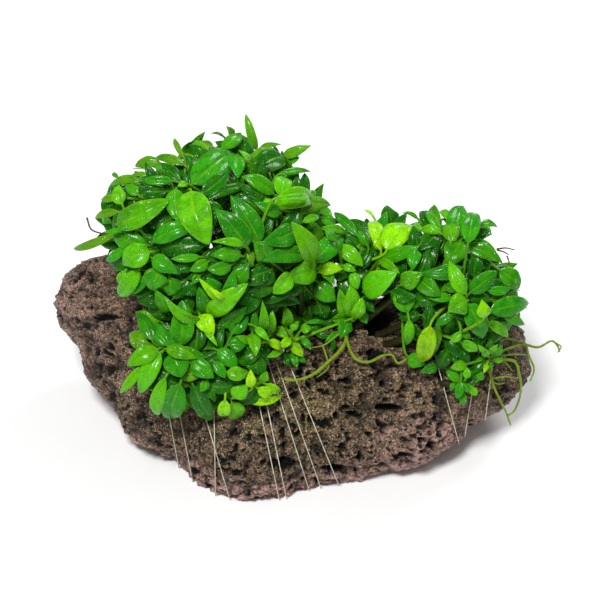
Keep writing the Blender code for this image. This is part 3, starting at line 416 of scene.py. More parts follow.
# Fine roots, runners and bare stalks: the shoot they belong to, the radius, tint, and places on the grid with
# how far each stands off the stone
FINE_ROOTS = {
    "fine_root_01": ("shoot_saddle_front", 0.45, "root", ((339, 334, 5), (325, 344.5, 3), (311.6, 348, 1))),
    "fine_root_02": ("shoot_saddle_front", 0.4, "root", (
        (323, 346, 3), (327.7, 361, 2), (327.7, 369, 1.5), (316, 378, 0.5))),
    "fine_root_03": ("shoot_low_right", 0.6, "stalk", ((301, 316, 6), (309, 308, 9), (320, 300, 10))),
    "fine_root_04": ("shoot_low_left", 0.45, "old", ((275, 358, 2), (281, 368, 1.5), (281, 378, 0.6))),
    "fine_root_05": ("shoot_right_rosette", 0.4, "root", ((500, 356, 3), (515, 354.4, 4), (528, 355, 3))),
    "fine_root_06": ("shoot_right_rosette", 0.4, "root", ((491, 379, 1.5), (505, 376.7, 2), (516.5, 378, 1))),
    "fine_root_07": ("shoot_right_rosette", 0.35, "root", ((499, 358, 3), (507, 364, 2), (513, 372, 1))),
    "fine_root_08": ("shoot_right_rosette", 0.35, "root", ((491, 381, 1.5), (498, 384, 2), (505, 383, 1))),
    "fine_root_09": ("shoot_right_rosette", 0.35, "root", ((500, 362, 2), (509, 359, 3), (517, 361, 2))),
    "fine_root_10": ("shoot_left_outer", 0.4, "old", ((87, 218, 8), (91, 229, 8), (100, 233, 7), (110, 234, 8))),
    "fine_root_11": ("shoot_right_top", 0.35, "old", ((497, 249, 14), (506, 248, 14), (515, 250, 14))),
    "fine_root_12": ("shoot_right_top", 0.35, "old", ((497, 250, 14), (504, 252, 14), (509, 255, 14))),
    "fine_root_13": ("shoot_right_top", 0.35, "old", ((507, 256, 12), (509, 262, 12), (510, 268, 12))),
    "fine_root_14": ("shoot_front_right", 1.6, "cut", ((212, 350, 2), (208, 344, 4), (204, 339, 6))),
    "fine_root_15": ("shoot_right_rosette", 0.35, "root", ((556, 343, 2), (561, 347, 2), (557, 353, 1))),
}

# All that follows is for the drawn model alone.
# Without a seed noise_vector takes its offsets from the clock, and each run gives another stone
NOISE_SEED = 7

# The knobs of the drawn stone: the spacing of its crags, and the spacing and width of its wide and narrow clefts
CRAG_SPACING = 6.5
WIDE_CLEFTS = (6.5, 0.3)
NARROW_CLEFTS = (3.1, 0.35)
HIGHEST_KNOB = -1.2

# Scattered pores of the stone: spacing, share of the places that hold one, depth, and offset of their pattern
PORES = (
    (5.5, 0.26, 2.3, (0, 0, 0)),
    (3.6, 0.8, 2.1, (31, 7, 3)),
    (2.2, 0.6, 1.1, (5, 41, 9)),
)
# How far the stone is drawn in at each end beyond its solid, so that its outline is that of the photograph
RIGHT_TRIM = 5.5
LEFT_TRIM = 2.0

# How much one leaf differs from the next: spans for the droop of its tip, its sideways bow, its twist, the point of
# its outline, the fold along its rib, the droop of its margins, and the waves along them
LEAF_CURLS = (0.02, 0.2)
LEAF_BOWS = (-0.08, 0.08)
LEAF_TWISTS = (-0.25, 0.25)
LEAF_POINTS = (0.9, 1.25)
LEAF_FOLDS = (0.15, 0.42)
LEAF_MARGINS = (0.12, 0.4)
LEAF_WAVES = (1.4, 2.4)
# The outline of a blade: how fast it widens from its base and narrows to its tip
LEAF_RISE = 0.56
LEAF_FALL = 0.8

# Inner leaves that close the gaps: how deep they are tried, at which sizes, and their lengths and widths
GAP_DEPTHS = (7, 10, 13, 17, 22, 27)
GAP_SIZES = (1.0, 0.75)
GAP_LENGTHS = (10, 15)
GAP_WIDTHS = (5.0, 7.0)
# Leaves on the sides and the back: their layers as shares of a clump, the steps tried, their lengths and widths
ROUND_LAYERS = (0.84, 0.64)
ROUND_STEPS = (0, -2, 2, -4, 4, -7)
ROUND_LENGTHS = (12, 18)
ROUND_WIDTHS = (5.5, 8.0)

# How finely the stone is drawn, and how its points are spread so that its long sides get enough of them
STONE_DETAIL = 7
LATTICE_STRETCH = (1.5, 1.0, 0.9)
# The size of a cell of the cover, how many cells a bay of the plant's outline is closed by, and how far apart the
# places for gap leaves are
COVER_CELL = 2
OUTLINE_CLOSING = 5
GAP_STEP = 6
# Leaves tried on the sides and the back, for each unit of the area that fill_round gives a clump
ROUND_DENSITY = 0.021
# How deep a stem starts in the stone, and the sides of the round stems and roots
STEM_DEPTH = 3.0
STEM_TUBE_SIDES = 9
ROOT_TUBE_SIDES = 7
# The drawn line: corners of a loop, its gap to the stone, the closest spacing of corners, and its height in radii
LINE_STEPS = 90
LINE_GAP = 0.6
LINE_SPACING = 0.3
LINE_HEIGHT = 1.4

# Further pits in the front of the stone: grid place, half sizes across and down, and depth
PITS = (
    ((402, 364), (4, 3), 2.0), ((294, 398), (5, 4), 2.5), ((350, 409), (4, 3), 2.5), ((339, 418), (4, 4), 2.5),
    ((359, 416), (4, 4), 2.5), ((374, 438), (4, 3), 2.0), ((265, 440), (3, 3), 2.0), ((364, 462), (4, 5), 2.5),
    ((384, 468), (8, 2), 2.0), ((426, 443), (4, 4), 2.0), ((442, 450), (8, 4), 2.0), ((411, 460), (11, 3), 2.0),
    ((300, 372), (5, 4), 2.0), ((324, 392), (4, 3), 1.8), ((412, 388), (5, 3), 1.8), ((366, 396), (4, 3), 1.8),
)

# The floor's size in metres, and the round soft lights: place and size in metres, power as a share of the key light
FLOOR_SIZE = 6
LIGHTS = {
    "key_light": ((-0.2, -0.42, 0.95), 0.28, 1.0),
    "back_light": ((0.45, 0.6, 0.7), 0.4, 0.5),
}

# Places where no leaf hides the stone: grid place and half sizes
BARE_PLACES = (((384, 320), (18, 15)),)


def unit(vector):
    return vector / vector.length


def view_ray(across, down):
    """A point and a direction such that point + near * direction is the place on the grid at that nearness."""
    offset = GRID_STEP * ((across - GRID_MIDDLE) * RIGHT + (GRID_MIDDLE - down) * UP)
    return AIM + offset, NEAR - offset / EYE_DISTANCE


def grid_point(across, down, near):
    point, direction = view_ray(across, down)
    return point + near * direction


def in_sizes(vector, sizes):
    return Vector((vector[0] / sizes[0], vector[1] / sizes[1], vector[2] / sizes[2]))


def swelling_reach(direction, centre, sizes):
    """How far a ray from the stone's heart goes before it leaves one swelling, or 0 where it misses."""
    start = in_sizes(STONE_HEART - Vector(centre), sizes)
    step = in_sizes(direction, sizes)
    a, b, c = step.dot(step), start.dot(step), start.dot(start) - 1
    root = b * b - a * c
    return max(0.0, (-b + math.sqrt(root)) / a) if root > 0 else 0.0


def stone_reach(direction):
    """The smooth envelope of the swellings, cut level at the base, along a ray from the stone's heart."""
    reaches = [swelling_reach(direction, *size) for size in SWELLINGS.values()]
    reach = sum(r**SWELLING_BLEND for r in reaches) ** (1 / SWELLING_BLEND)
    return min(reach, STONE_HEART.z / -direction.z) if direction.z < 0 else reach


def stone_surface(direction):
    """The stone's surface along a ray from its heart: below the envelope by a relief that ends at the base."""
    place = STONE_HEART + stone_reach(direction) * direction
    relief = RELIEF_MEAN + RELIEF_SWING * noise.noise(place / RELIEF_SPACING)
    return place - relief * min(1.0, max(0.0, place.z) / FOOT_HEIGHT) * direction


def above_stone(point):
    """How far a point is outside the stone's envelope, along the ray from the heart."""
    ray = point - STONE_HEART
    return ray.length - stone_reach(unit(ray))


def edge_of_stone(point, direction, inside, outside, above=above_stone):
    """How far along a line the stone's envelope is, between a place inside it and one outside it."""
    while outside - inside > EDGE_TOLERANCE:
        middle = (inside + outside) / 2
        if above(point + middle * direction) > 0:
            outside = middle
        else:
            inside = middle
    return inside


def stone_near(across, down):
    """The nearness at which the view ray meets the stone's envelope, or None where it misses."""
    point, direction = view_ray(across, down)
    near = VIEW_DEPTH
    while near > -VIEW_DEPTH and above_stone(point + near * direction) > 0:
        near -= VIEW_STEP
    if near <= -VIEW_DEPTH:
        return None
    return edge_of_stone(point, direction, near, near + VIEW_STEP)


def clump_near(across, down):
    """The nearness of the plant's outline on a view ray, or of the ray's closest pass where it misses."""
    point, direction = view_ray(across, down)
    hits, misses = [], []
    for centre, sizes in CLUMPS.values():
        start, step = in_sizes(point - Vector(centre), sizes), in_sizes(direction, sizes)
        a, b, c = step.dot(step), start.dot(step), start.dot(start) - 1
        root = b * b - a * c
        if root > 0:
            hits.append((-b + math.sqrt(root)) / a)
        else:
            misses.append((-root / a, -b / a))
    return max(hits) if hits else min(misses)[1]


def clump_outward(point):
    """The direction out of the clump that holds a point, or that is closest to it."""
    offsets = [(in_sizes(point - Vector(centre), sizes), sizes) for centre, sizes in CLUMPS.values()]
    offset, sizes = min(offsets, key=lambda pair: pair[0].length)
    return unit(in_sizes(offset, sizes))


def reshaped(bm, place):
    """Points and faces of a primitive whose vertices are moved to their places. It frees the primitive."""
    for vertex in bm.verts:
        vertex.co = place(vertex.co)
    bm.normal_update()
    bmesh.ops.recalc_face_normals(bm, faces=bm.faces)
    points = [vertex.co.copy() for vertex in bm.verts]
    faces = [[vertex.index for vertex in face.verts] for face in bm.faces]
    bm.free()
    return points, faces


def sphere_grid(sides, bands):
    """A UV sphere as (band, cosine, sine) for each vertex, with its faces."""
    bm = bmesh.new()
    bmesh.ops.create_uvsphere(bm, u_segments=sides, v_segments=bands, radius=1)
    bmesh.ops.triangulate(bm, faces=bm.faces)
    corners = []
    for vertex in bm.verts:
        band = round((1 - math.acos(max(-1, min(1, vertex.co.z))) / math.pi) * bands)
        ring = math.hypot(vertex.co.x, vertex.co.y)
        corners.append((band, vertex.co.x / ring, vertex.co.y / ring) if 0 < band < bands else (band, 0, 0))
    faces = [[vertex.index for vertex in face.verts] for face in bm.faces]
    bm.free()
    return corners, faces


SPHERE_GRIDS = {}


def spindle(centres, facing, half_widths, half_heights, sides):
    """A sphere stretched along a path: points and faces. Its first and last centres are its two poles."""
    bands = len(centres) - 1
    if (sides, bands) not in SPHERE_GRIDS:
        SPHERE_GRIDS[sides, bands] = sphere_grid(sides, bands)
    corners, faces = SPHERE_GRIDS[sides, bands]
    frames = []
    for i in range(bands + 1):
        along = unit(centres[min(i + 1, bands)] - centres[max(i - 1, 0)])
        across = unit(facing.cross(along))
        frames.append((across, along.cross(across)))
    points = []
    for band, cosine, sine in corners:
        across, up = frames[band]
        points.append(centres[band] + sine * half_widths[band] * across - cosine * half_heights[band] * up)
    return points, faces


class Blade:
    """One leaf: its stalk from the stem, then a blade from base to tip that faces outward."""

    def __init__(self, start, base, tip, facing, width, arch, long_stalk=True):
        self.start, self.base, self.tip = start, base, tip
        self.facing, self.width, self.arch, self.long_stalk = facing, width, arch, long_stalk
        self.leaf, self.tone, self.shown = None, "g", True

    def along_blade(self, fraction):
        bend = 4 * fraction * (1 - fraction) * self.arch * (self.tip - self.base).length
        return self.base.lerp(self.tip, fraction) + bend * self.facing

    def solid(self, grow=0.0, whole=True):
        """Points and faces of the leaf, grown by a clearance, with or without its stalk."""
        centres = [self.along_blade(fraction) for fraction, _ in BLADE_SHAPE]
        widths = [max(PETIOLE_RADIUS, self.width / SPINDLE_WIDTH * part) + grow for _, part in BLADE_SHAPE]
        heights = [LEAF_THICKNESS / 1.5 + grow for _ in BLADE_SHAPE]
        heights[0] = PETIOLE_RADIUS + grow
        if whole:
            away = unit(self.base - self.start)
            if self.long_stalk:
                centres.insert(0, self.start + STALK_INSET * away)
                widths.insert(0, widths[0])
                heights.insert(0, heights[0])
            else:
                centres[0] = self.start + STALK_INSET * away
            centres.insert(0, self.start + 0.2 * STALK_INSET * away)
            widths.insert(0, 0)
            heights.insert(0, 0)
        return spindle(centres, self.facing, widths, heights, 3)


def tree_of(solid):
    return BVHTree.FromPolygons(*solid)


def thread_loop(top, bottom, offset, floor, steps=THREAD_STEPS, above=above_stone):
    """The centre line of one taut loop in the plane that holds both view rays, and that plane's normal."""
    first = grid_point(*top, stone_near(*top))
    last = grid_point(*bottom, stone_near(*bottom))
    normal = unit((first - last).cross(view_ray(*top)[1]))
    middle = STONE_HEART + normal.dot(first - STONE_HEART) * normal
    rise = unit(Vector((0, 0, 1)) - normal.z * normal)
    side = rise.cross(normal)
    samples = []
    for i in range(4 * steps):
        angle = math.tau * i / (4 * steps)
        direction = math.cos(angle) * side + math.sin(angle) * rise
        place = middle + edge_of_stone(middle, direction, 0.0, LONGEST_REACH, above) * direction
        place.z = max(place.z, floor + offset)
        samples.append(Vector(((place - middle).dot(side), (place - middle).dot(rise))))
    loop = []
    for i in range(steps):
        angle = math.tau * (i + 0.5) / steps
        out = Vector((math.cos(angle), math.sin(angle)))
        corner = max(samples, key=out.dot) + offset * out
        loop.append(middle + corner.x * side + corner.y * rise)
    return loop, normal


def solid_loop(top, bottom, lift):
    """The loop that a thread's solid follows."""
    return thread_loop(
        top, bottom, THREAD_GAP + THREAD_RADIUS + THREAD_SLACK + lift, GROOVE_ROOM + THREAD_RADIUS + lift)


def above_surface(point):
    """How far a point is outside the drawn stone's coarse surface, along the ray from the heart."""
    ray = point - STONE_HEART
    direction = unit(ray)
    trim = ends_trim(STONE_HEART + stone_reach(direction) * direction)
    return ray.length - (stone_surface(direction) - STONE_HEART).length + trim


def thread_solid(loop, normal, radius):
    """A three-sided tube along a closed loop."""
    points, faces = [], []
    count = len(loop)
    for i, centre in enumerate(loop):
        along = unit(loop[(i + 1) % count] - loop[i - 1])
        out = along.cross(normal)
        for j in range(3):
            angle = math.tau * j / 3
            points.append(centre + radius * (math.cos(angle) * out + math.sin(angle) * normal))
            a, b = 3 * i, 3 * ((i + 1) % count)
            k = (j + 1) % 3
            faces.append((a + j, b + j, b + k, a + k))
    return points, faces


def stone_solid():
    bm = bmesh.new()
    bmesh.ops.create_icosphere(bm, subdivisions=STONE_SUBDIVISIONS, radius=1)
    return reshaped(bm, lambda co: stone_surface(unit(co)))


def stem_foot(crown, trees):
    """The foot of a stem on the stone below its crown, moved aside where something is in its way."""
    shifts = [(aside, ahead) for aside in FOOT_SHIFTS for ahead in FOOT_SHIFTS]
    for aside, ahead in sorted(shifts, key=lambda shift: math.hypot(*shift)):
        ray = unit(crown + aside * RIGHT + ahead * UP - STONE_HEART)
        for gap in STEM_GAPS:
            foot = stone_surface(ray) + gap * ray
            tree = tree_of(stem_solid(foot, crown, LEAF_GAP))
            if not any(tree.overlap(other) for other in trees):
                return foot
    raise ValueError("a stem has no clear foot")


def stem_solid(foot, crown, grow=0.0):
    along = unit(crown - foot)
    centres = [foot - grow * along, foot + STEM_RADIUS * along, crown, crown + STEM_RADIUS * along]
    radii = [0, STEM_FOOT_RADIUS + grow, STEM_RADIUS + grow, 0]
    return spindle(centres, NEAR if abs(along.dot(NEAR)) < 0.9 else UP, radii, radii, STEM_SIDES)


def lift_off(across, down, near, clearance):
    """A nearness that is at least so far in front of the stone."""
    stone = stone_near(across, down)
    return near if stone is None else max(near, stone + clearance)


def front_crown(across, down):
    near = lift_off(across, down, clump_near(across, down) - CROWN_DEPTH, CROWN_CLEARANCE)
    return grid_point(across, down, near)


def front_blade(leaf, start, shift):
    """A leaf laid out on the grid, moved towards the viewer by a shift."""
    base_across, base_down, tip_across, tip_down, width, tone = leaf
    depth = BLADE_DEPTH[tone]
    base_near = clump_near(base_across, base_down) - depth - BASE_DEPTH
    base_near = lift_off(base_across, base_down, base_near, LEAF_CLEARANCE)
    tip_near = lift_off(tip_across, tip_down, clump_near(tip_across, tip_down) - depth, LEAF_CLEARANCE)
    length = GRID_STEP * math.hypot(tip_across - base_across, tip_down - base_down)
    most = STEEPEST * length
    tip_near = max(base_near - most, min(base_near + most, tip_near))
    base = grid_point(base_across, base_down, base_near + shift)
    tip = grid_point(tip_across, tip_down, tip_near + shift)
    along = unit(tip - base)
    facing = NEAR + OUTWARD_LEAN * clump_outward(base.lerp(tip, 0.5))
    facing = unit(facing - facing.dot(along) * along)
    seen = unit(facing.cross(along))
    flat = math.hypot(seen.dot(RIGHT), seen.dot(UP))
    arch = BRIGHT_ARCH if tone in "by" else ARCH
    blade = Blade(start, base, tip, facing, GRID_STEP * width / max(flat, NARROWEST_VIEW), arch)
    blade.leaf, blade.tone = leaf, tone
    return blade


def parent_shoots(leaf, crowns):
    """The front shoots that a leaf can grow from: near its base, and behind it as seen from the tip."""
    def cost(name):
        blade = front_blade(leaf, crowns[name], 0)
        stalk, lamina = blade.base - blade.start, blade.tip - blade.base
        turn = stalk.dot(lamina) / stalk.length / lamina.length
        return stalk.length + FOLD_COST * max(0, STRAIGHTEST_FOLD - turn)

    return sorted(FRONT_CROWNS, key=cost)[:PARENT_CHOICES]


def back_blade(crown, index, start, shift, seed):
    """A leaf that spirals round a crown behind the plant, moved outward by a shift."""
    outward = clump_outward(crown)
    side = unit(outward.cross(Vector((0.2, 0.1, 1))))
    turn = seed.uniform(-TURN_SPREAD, TURN_SPREAD) + index * GOLDEN_ANGLE
    sideways = math.cos(turn) * side + math.sin(turn) * outward.cross(side)
    length = seed.uniform(*BACK_LENGTHS)
    heading = unit(outward + (FIRST_SPREAD + SPREAD_STEP * index) * sideways)
    base = crown + BACK_STALK * heading + shift * outward
    tip = base + length * unit(heading - BACK_DROOP * outward + BACK_SIDEWAYS * sideways)
    along = unit(tip - base)
    facing = outward + Vector((0, 0, 0.5))
    facing = unit(facing - facing.dot(along) * along)
    blade = Blade(start, base, tip, facing, seed.uniform(*BACK_WIDTHS), BACK_ARCH, False)
    blade.tone = "gdbs"[index % 4]
    return blade


class Garden:
    """Every solid that has its place, so that the next leaf can be kept clear of all of them."""

    def __init__(self, stone, threads):
        self.still = [tree_of(stone)] + threads
        self.stems, self.leaves = {}, []

    def clear(self, name, blade):
        whole = tree_of(blade.solid(LEAF_GAP))
        if any(whole.overlap(tree) for tree in self.still):
            return False
        if any(whole.overlap(tree) for other, tree in self.stems.items() if other != name):
            return False
        low, high = bounds(blade.solid(LEAF_GAP)[0])
        bare = tree_of(blade.solid(LEAF_GAP, whole=False))
        for other, whole_tree, bare_tree, (other_low, other_high) in self.leaves:
            if any(low[i] > other_high[i] or high[i] < other_low[i] for i in range(3)):
                continue
            if (bare.overlap(bare_tree) if other == name else whole.overlap(whole_tree)):
                return False
        return True

    def add(self, name, blade):
        solid = blade.solid()
        self.leaves.append((name, tree_of(solid), tree_of(blade.solid(whole=False)), bounds(solid[0])))


def bounds(points):
    return [min(p[i] for p in points) for i in range(3)], [max(p[i] for p in points) for i in range(3)]


def settle(garden, name, foot, crown, order, make_blade):
    """The clear place of a leaf that is closest to its own place, or None. Later leaves start lower."""
    for step in sorted(range(-INWARD_STEPS, OUTWARD_STEPS), key=abs):
        for height in START_HEIGHTS:
            start = foot.lerp(crown, height) - order * LEAF_SPACING * unit(crown - foot)
            if (start - crown).length > LOWEST_START * (crown - foot).length:
                continue
            blade = make_blade(start, step * ESCAPE_STEP)
            if garden.clear(name, blade):
                garden.add(name, blade)
                return blade
    return None


def plant_leaves(garden, queue, crowns, feet, blades):
    """Each leaf of the grid that finds a clear place, with its shoot: the deepest tones come first."""
    for leaf in sorted(queue, key=lambda leaf: TONE_ORDER.index(leaf[5])):
        for name in parent_shoots(leaf, crowns):
            blade = settle(
                garden, name, feet[name], crowns[name], len(blades[name]),
                lambda start, shift: front_blade(leaf, start, shift),
            )
            if blade:
                yield name, blade
                break


def grow_plant(garden):
    """The stem and the leaves of every shoot, each leaf in a clear place."""
    crowns = {name: front_crown(*crown) for name, crown in FRONT_CROWNS.items()}
    crowns.update({name: Vector(crown) for name, (crown, _) in BACK_SHOOTS.items()})
    feet = {}
    for name, crown in sorted(crowns.items(), key=lambda item: above_stone(item[1])):
        feet[name] = stem_foot(crown, garden.still + list(garden.stems.values()))
        garden.stems[name] = tree_of(stem_solid(feet[name], crown, LEAF_GAP))
    blades = {name: [] for name in crowns}
    queue = [leaf for leaf in FRONT_LEAVES if leaf[4] >= SMALLEST_SOLID_LEAF]
    for name, blade in plant_leaves(garden, queue, crowns, feet, blades):
        blades[name].append(blade)
    for name, (_, count) in BACK_SHOOTS.items():
        for index in range(count):
            blade = settle(
                garden, name, feet[name], crowns[name], index,
                lambda start, shift: back_blade(
                    crowns[name], index, start, shift, random.Random(name + str(index))),
            )
            if blade:
                blades[name].append(blade)
    return crowns, feet, blades


# Fine meshes


def as_array(vector):
    return np.array(vector[:], float)


def unit_rows(rows):
    return rows / np.maximum(np.linalg.norm(rows, axis=1), 1e-9)[:, None]


class Batch:
    """Gathers points and quads of many small shapes, to make one mesh with its attributes."""

    def __init__(self):
        self.points, self.faces, self.slots, self.places, self.tints = [], [], [], [], []
        self.count = 0

    def add(self, points, faces, slot, places, tint):
        """places holds along, across and a seed for each point; tint is one colour or a colour for each."""
        self.points.append(points)
        self.faces.append(faces + self.count)
        self.slots.append(np.full(len(faces), slot))
        self.places.append(places)
        tints = np.ones((len(points), 4))
        tints[:, :3] = tint
        self.tints.append(tints)
        self.count += len(points)

    def build(self, name, materials):
        obj = mesh_from_arrays(name, np.concatenate(self.points), np.concatenate(self.faces), materials)
        obj.data.polygons.foreach_set("material_index", np.concatenate(self.slots).astype(np.int32))
        add_attribute(obj.data, "place", "FLOAT_VECTOR", "vector", np.concatenate(self.places))
        add_attribute(obj.data, "tint", "FLOAT_COLOR", "color", np.concatenate(self.tints))
        return obj


def add_attribute(mesh, name, kind, field, values):
    attribute = mesh.attributes.new(name, kind, "POINT")
    attribute.data.foreach_set(field, np.ascontiguousarray(values, np.float32).ravel())


def mesh_from_arrays(name, points, faces, materials):
    """A smooth mesh from points in millimetres and faces with the same number of corners each."""
    mesh = bpy.data.meshes.new(name)
    mesh.vertices.add(len(points))
    mesh.vertices.foreach_set("co", np.ascontiguousarray(points * MM, np.float32).ravel())
    corners = faces.shape[1]
    mesh.loops.add(faces.size)
    mesh.loops.foreach_set("vertex_index", np.ascontiguousarray(faces, np.int32).ravel())
    mesh.polygons.add(len(faces))
    mesh.polygons.foreach_set("loop_start", np.arange(0, faces.size, corners, dtype=np.int32))
    mesh.update(calc_edges=True)
    mesh.validate()
    mesh.shade_smooth()
    for material in materials:
        mesh.materials.append(material)
    obj = bpy.data.objects.new(name, mesh)
    bpy.context.scene.collection.objects.link(obj)
    return obj


def grid_faces(rows, columns, wrap):
    """Quads over a grid of points; the last column joins the first where it wraps round."""
    across = columns if wrap else columns - 1
    row, column = np.meshgrid(np.arange(rows - 1), np.arange(across), indexing="ij")
    row, column = row.ravel(), column.ravel()
    beside = (column + 1) % columns
    return np.stack(
        [row * columns + column, row * columns + beside, (row + 1) * columns + beside, (row + 1) * columns + column],
        axis=1,
    )


def smooth_path(points, steps):
    """A Catmull-Rom curve through the points."""
    knots = np.array([as_array(point) for point in points])
    knots = np.vstack([2 * knots[0] - knots[1], knots, 2 * knots[-1] - knots[-2]])
    path = []
    for i in range(1, len(knots) - 2):
        t = np.linspace(0, 1, steps, endpoint=False)[:, None]
        a, b, c, d = knots[i - 1:i + 3]
        path.append(0.5 * (2 * b + (c - a) * t + (2 * a - 5 * b + 4 * c - d) * t**2 + (3 * b - a - 3 * c + d) * t**3))
    return np.vstack(path + [knots[-2:-1]])


def tube(path, radii, sides, closed=False):
    """Points and quads of a round tube along a path, with a frame that turns as little as it can."""
    if closed:
        tangents = unit_rows(np.roll(path, -1, axis=0) - np.roll(path, 1, axis=0))
    else:
        tangents = unit_rows(np.gradient(path, axis=0))
    normal = np.cross(tangents[0], [0.3, 0.9, 0.2])
    angles = np.linspace(0, math.tau, sides, endpoint=False)
    rings = []
    for centre, tangent, radius in zip(path, tangents, radii):
        normal = normal - normal.dot(tangent) * tangent
        normal /= np.linalg.norm(normal)
        side = np.cross(tangent, normal)
        rings.append(centre + radius * (np.outer(np.cos(angles), normal) + np.outer(np.sin(angles), side)))
    if closed:
        rings.append(rings[0])
    points = np.vstack(rings)
    return points, grid_faces(len(rings), sides, True)


def leaf_profile(along, pointed):
    """The half width of a blade as a share of its widest: an oval with a blunt base and a pointed tip."""
    fall = LEAF_FALL * pointed
    widest = LEAF_RISE / (LEAF_RISE + fall)
    return 1.12 * (along / widest)**LEAF_RISE * ((1 - along) / (1 - widest))**fall


def add_leaf(batch, blade, tint, seed, fine):
    """The blade as a thin closed slab with a groove along its rib, waved margins and a drooping tip, and its stalk."""
    turns = random.Random(seed)
    steps, halves = (16, 5) if fine else (9, 3)
    along = np.linspace(0, 1, steps + 1)**0.94
    across = np.linspace(-1, 1, 2 * halves + 1)
    across = np.sign(across) * np.abs(across)**1.15
    base, tip, facing = as_array(blade.base), as_array(blade.tip), as_array(blade.facing)
    chord = tip - base
    length = np.linalg.norm(chord)
    sideways = np.cross(facing, chord / length)
    curl = turns.uniform(*LEAF_CURLS)
    bow = turns.uniform(*LEAF_BOWS)
    lift = (4 * along * (1 - along) * blade.arch - curl * along**4) * length
    bend = 4 * along * (1 - along) * bow * length
    middle = base + np.outer(along, chord) + np.outer(lift, facing) + np.outer(bend, sideways)
    tangents = unit_rows(np.gradient(middle, axis=0))
    seen = unit_rows(np.cross(facing, tangents))
    above = np.cross(tangents, seen)
    roll = turns.uniform(*LEAF_TWISTS) * along
    seen, above = (
        np.cos(roll)[:, None] * seen + np.sin(roll)[:, None] * above,
        np.cos(roll)[:, None] * above - np.sin(roll)[:, None] * seen,
    )
    half = blade.width / 2 * leaf_profile(along, turns.uniform(*LEAF_POINTS))
    half = np.maximum(half, 0.35 * (1 - along))
    fold, droop = turns.uniform(*LEAF_FOLDS), turns.uniform(*LEAF_MARGINS)
    spread = np.abs(across)
    section = fold * spread - droop * spread**2.2
    phase, waves = turns.uniform(0, math.tau), turns.uniform(*LEAF_WAVES)
    wave = 0.09 * np.sin(math.tau * waves * along[:, None] + phase + 1.3 * (across[None, :] > 0)) * spread**2
    rise = half[:, None] * (section[None, :] + wave * np.sin(math.pi * along[:, None]))
    rise = rise - 0.22 * np.exp(-(across[None, :] / 0.16)**2) * np.minimum(half[:, None], 1.5) / 1.5
    thick = 0.25 * np.sqrt(np.maximum(0, 1 - across**2))[None, :] + 0.02
    thick = thick + 0.35 * np.exp(-(across[None, :] / 0.14)**2) * (1 - along[:, None])
    sheet = middle[:, None, :] + (half[:, None] * across[None, :])[:, :, None] * seen[:, None, :]
    top = sheet + (rise + 0.4 * thick)[:, :, None] * above[:, None, :]
    under = sheet + (rise - 0.6 * thick)[:, :, None] * above[:, None, :]
    rows, columns = len(along), len(across)
    points = np.concatenate([top.reshape(-1, 3), under.reshape(-1, 3)])
    faces = grid_faces(rows, columns, False)
    count = rows * columns
    rim = []
    for column in (0, columns - 1):
        low = np.arange(rows - 1) * columns + column
        quad = np.stack([low, low + columns, low + columns + count, low + count], axis=1)
        rim.append(quad if column == 0 else quad[:, ::-1])
    faces = np.concatenate([faces, faces[:, ::-1] + count] + rim)
    grid_along = np.repeat(along, columns)
    grid_across = np.tile(across, rows)
    key = turns.random()
    places = np.stack([np.tile(grid_along, 2), np.tile(grid_across, 2), np.full(2 * count, key)], axis=1)
    tints = np.tile(tint, (2 * count, 1))
    tints[count:] = tints[count:] * 0.8 + 0.2 * np.array(tint) * (1.3, 1.15, 1.0)
    batch.add(points, faces, 0, places, tints)
    add_stalk(batch, blade, middle, tint, key, fine)


def add_stalk(batch, blade, middle, tint, key, fine):
    """The petiole, which bends from the stem into the line of the rib."""
    start, base = as_array(blade.start), as_array(blade.base)
    reach = np.linalg.norm(base - start)
    heading = unit_rows((middle[1] - middle[0])[None, :])[0]
    t = np.linspace(0, 1, 9 if fine else 6)[:, None]
    first = start + (base - start) * 0.35
    second = base - 0.3 * min(reach, 12.0) * heading
    path = (1 - t)**3 * start + 3 * (1 - t)**2 * t * first + 3 * (1 - t) * t**2 * second + t**3 * base
    path = np.vstack([path, middle[1:3]])
    radii = np.concatenate([np.linspace(0.75, 0.45, len(t)), [0.3, 0.08]])
    sides = 7 if fine else 5
    points, faces = tube(path, radii, sides)
    rings = np.repeat(np.linspace(0, 1, len(path)), sides)
    places = np.column_stack([rings, np.zeros(len(points)), np.full(len(points), key)])
    batch.add(points, faces, 1, places, 0.6 * np.array(tint) + 0.4 * np.array(srgb(108, 150, 28)))


def add_stem(batch, foot, crown, seed):
    """A rhizome with the ring scars of old leaves, from the stone to its crown."""
    turns = random.Random(seed)
    foot, crown = as_array(foot), as_array(crown)
    foot = foot - STEM_DEPTH * (crown - foot) / np.linalg.norm(crown - foot)
    t = np.linspace(0, 1, 28)
    length = np.linalg.norm(crown - foot)
    side = np.cross(crown - foot, [0.2, 0.3, 1.0])
    side /= np.linalg.norm(side)
    bow = 0.035 * length * np.sin(math.pi * t) * turns.choice((-1, 1))
    path = foot + np.outer(t, crown - foot) + np.outer(bow, side)
    radii = (1.5 - 0.45 * t) * (1 + 0.1 * np.abs(np.sin(t * length / 1.3)))
    radii[0], radii[-1] = 1.9, 0.25
    points, faces = tube(path, radii, STEM_TUBE_SIDES)
    rings = np.repeat(t, STEM_TUBE_SIDES)
    places = np.column_stack([rings, np.zeros(len(points)), np.full(len(points), turns.random())])
    # Browner and darker towards the foot: the brown is the rhizome's own colour, the darkness painted shade.
    tints = np.outer(1 - rings**2, srgb(30, 22, 12)) + np.outer(rings**2, srgb(62, 88, 20))
    batch.add(points, faces, 1, places, tints)


def srgb(red, green, blue):
    """A colour given in the usual 0 to 255 values, as linear light."""
    return tuple(((value / 255 + 0.055) / 1.055)**2.4 for value in (red, green, blue))


# The porous stone


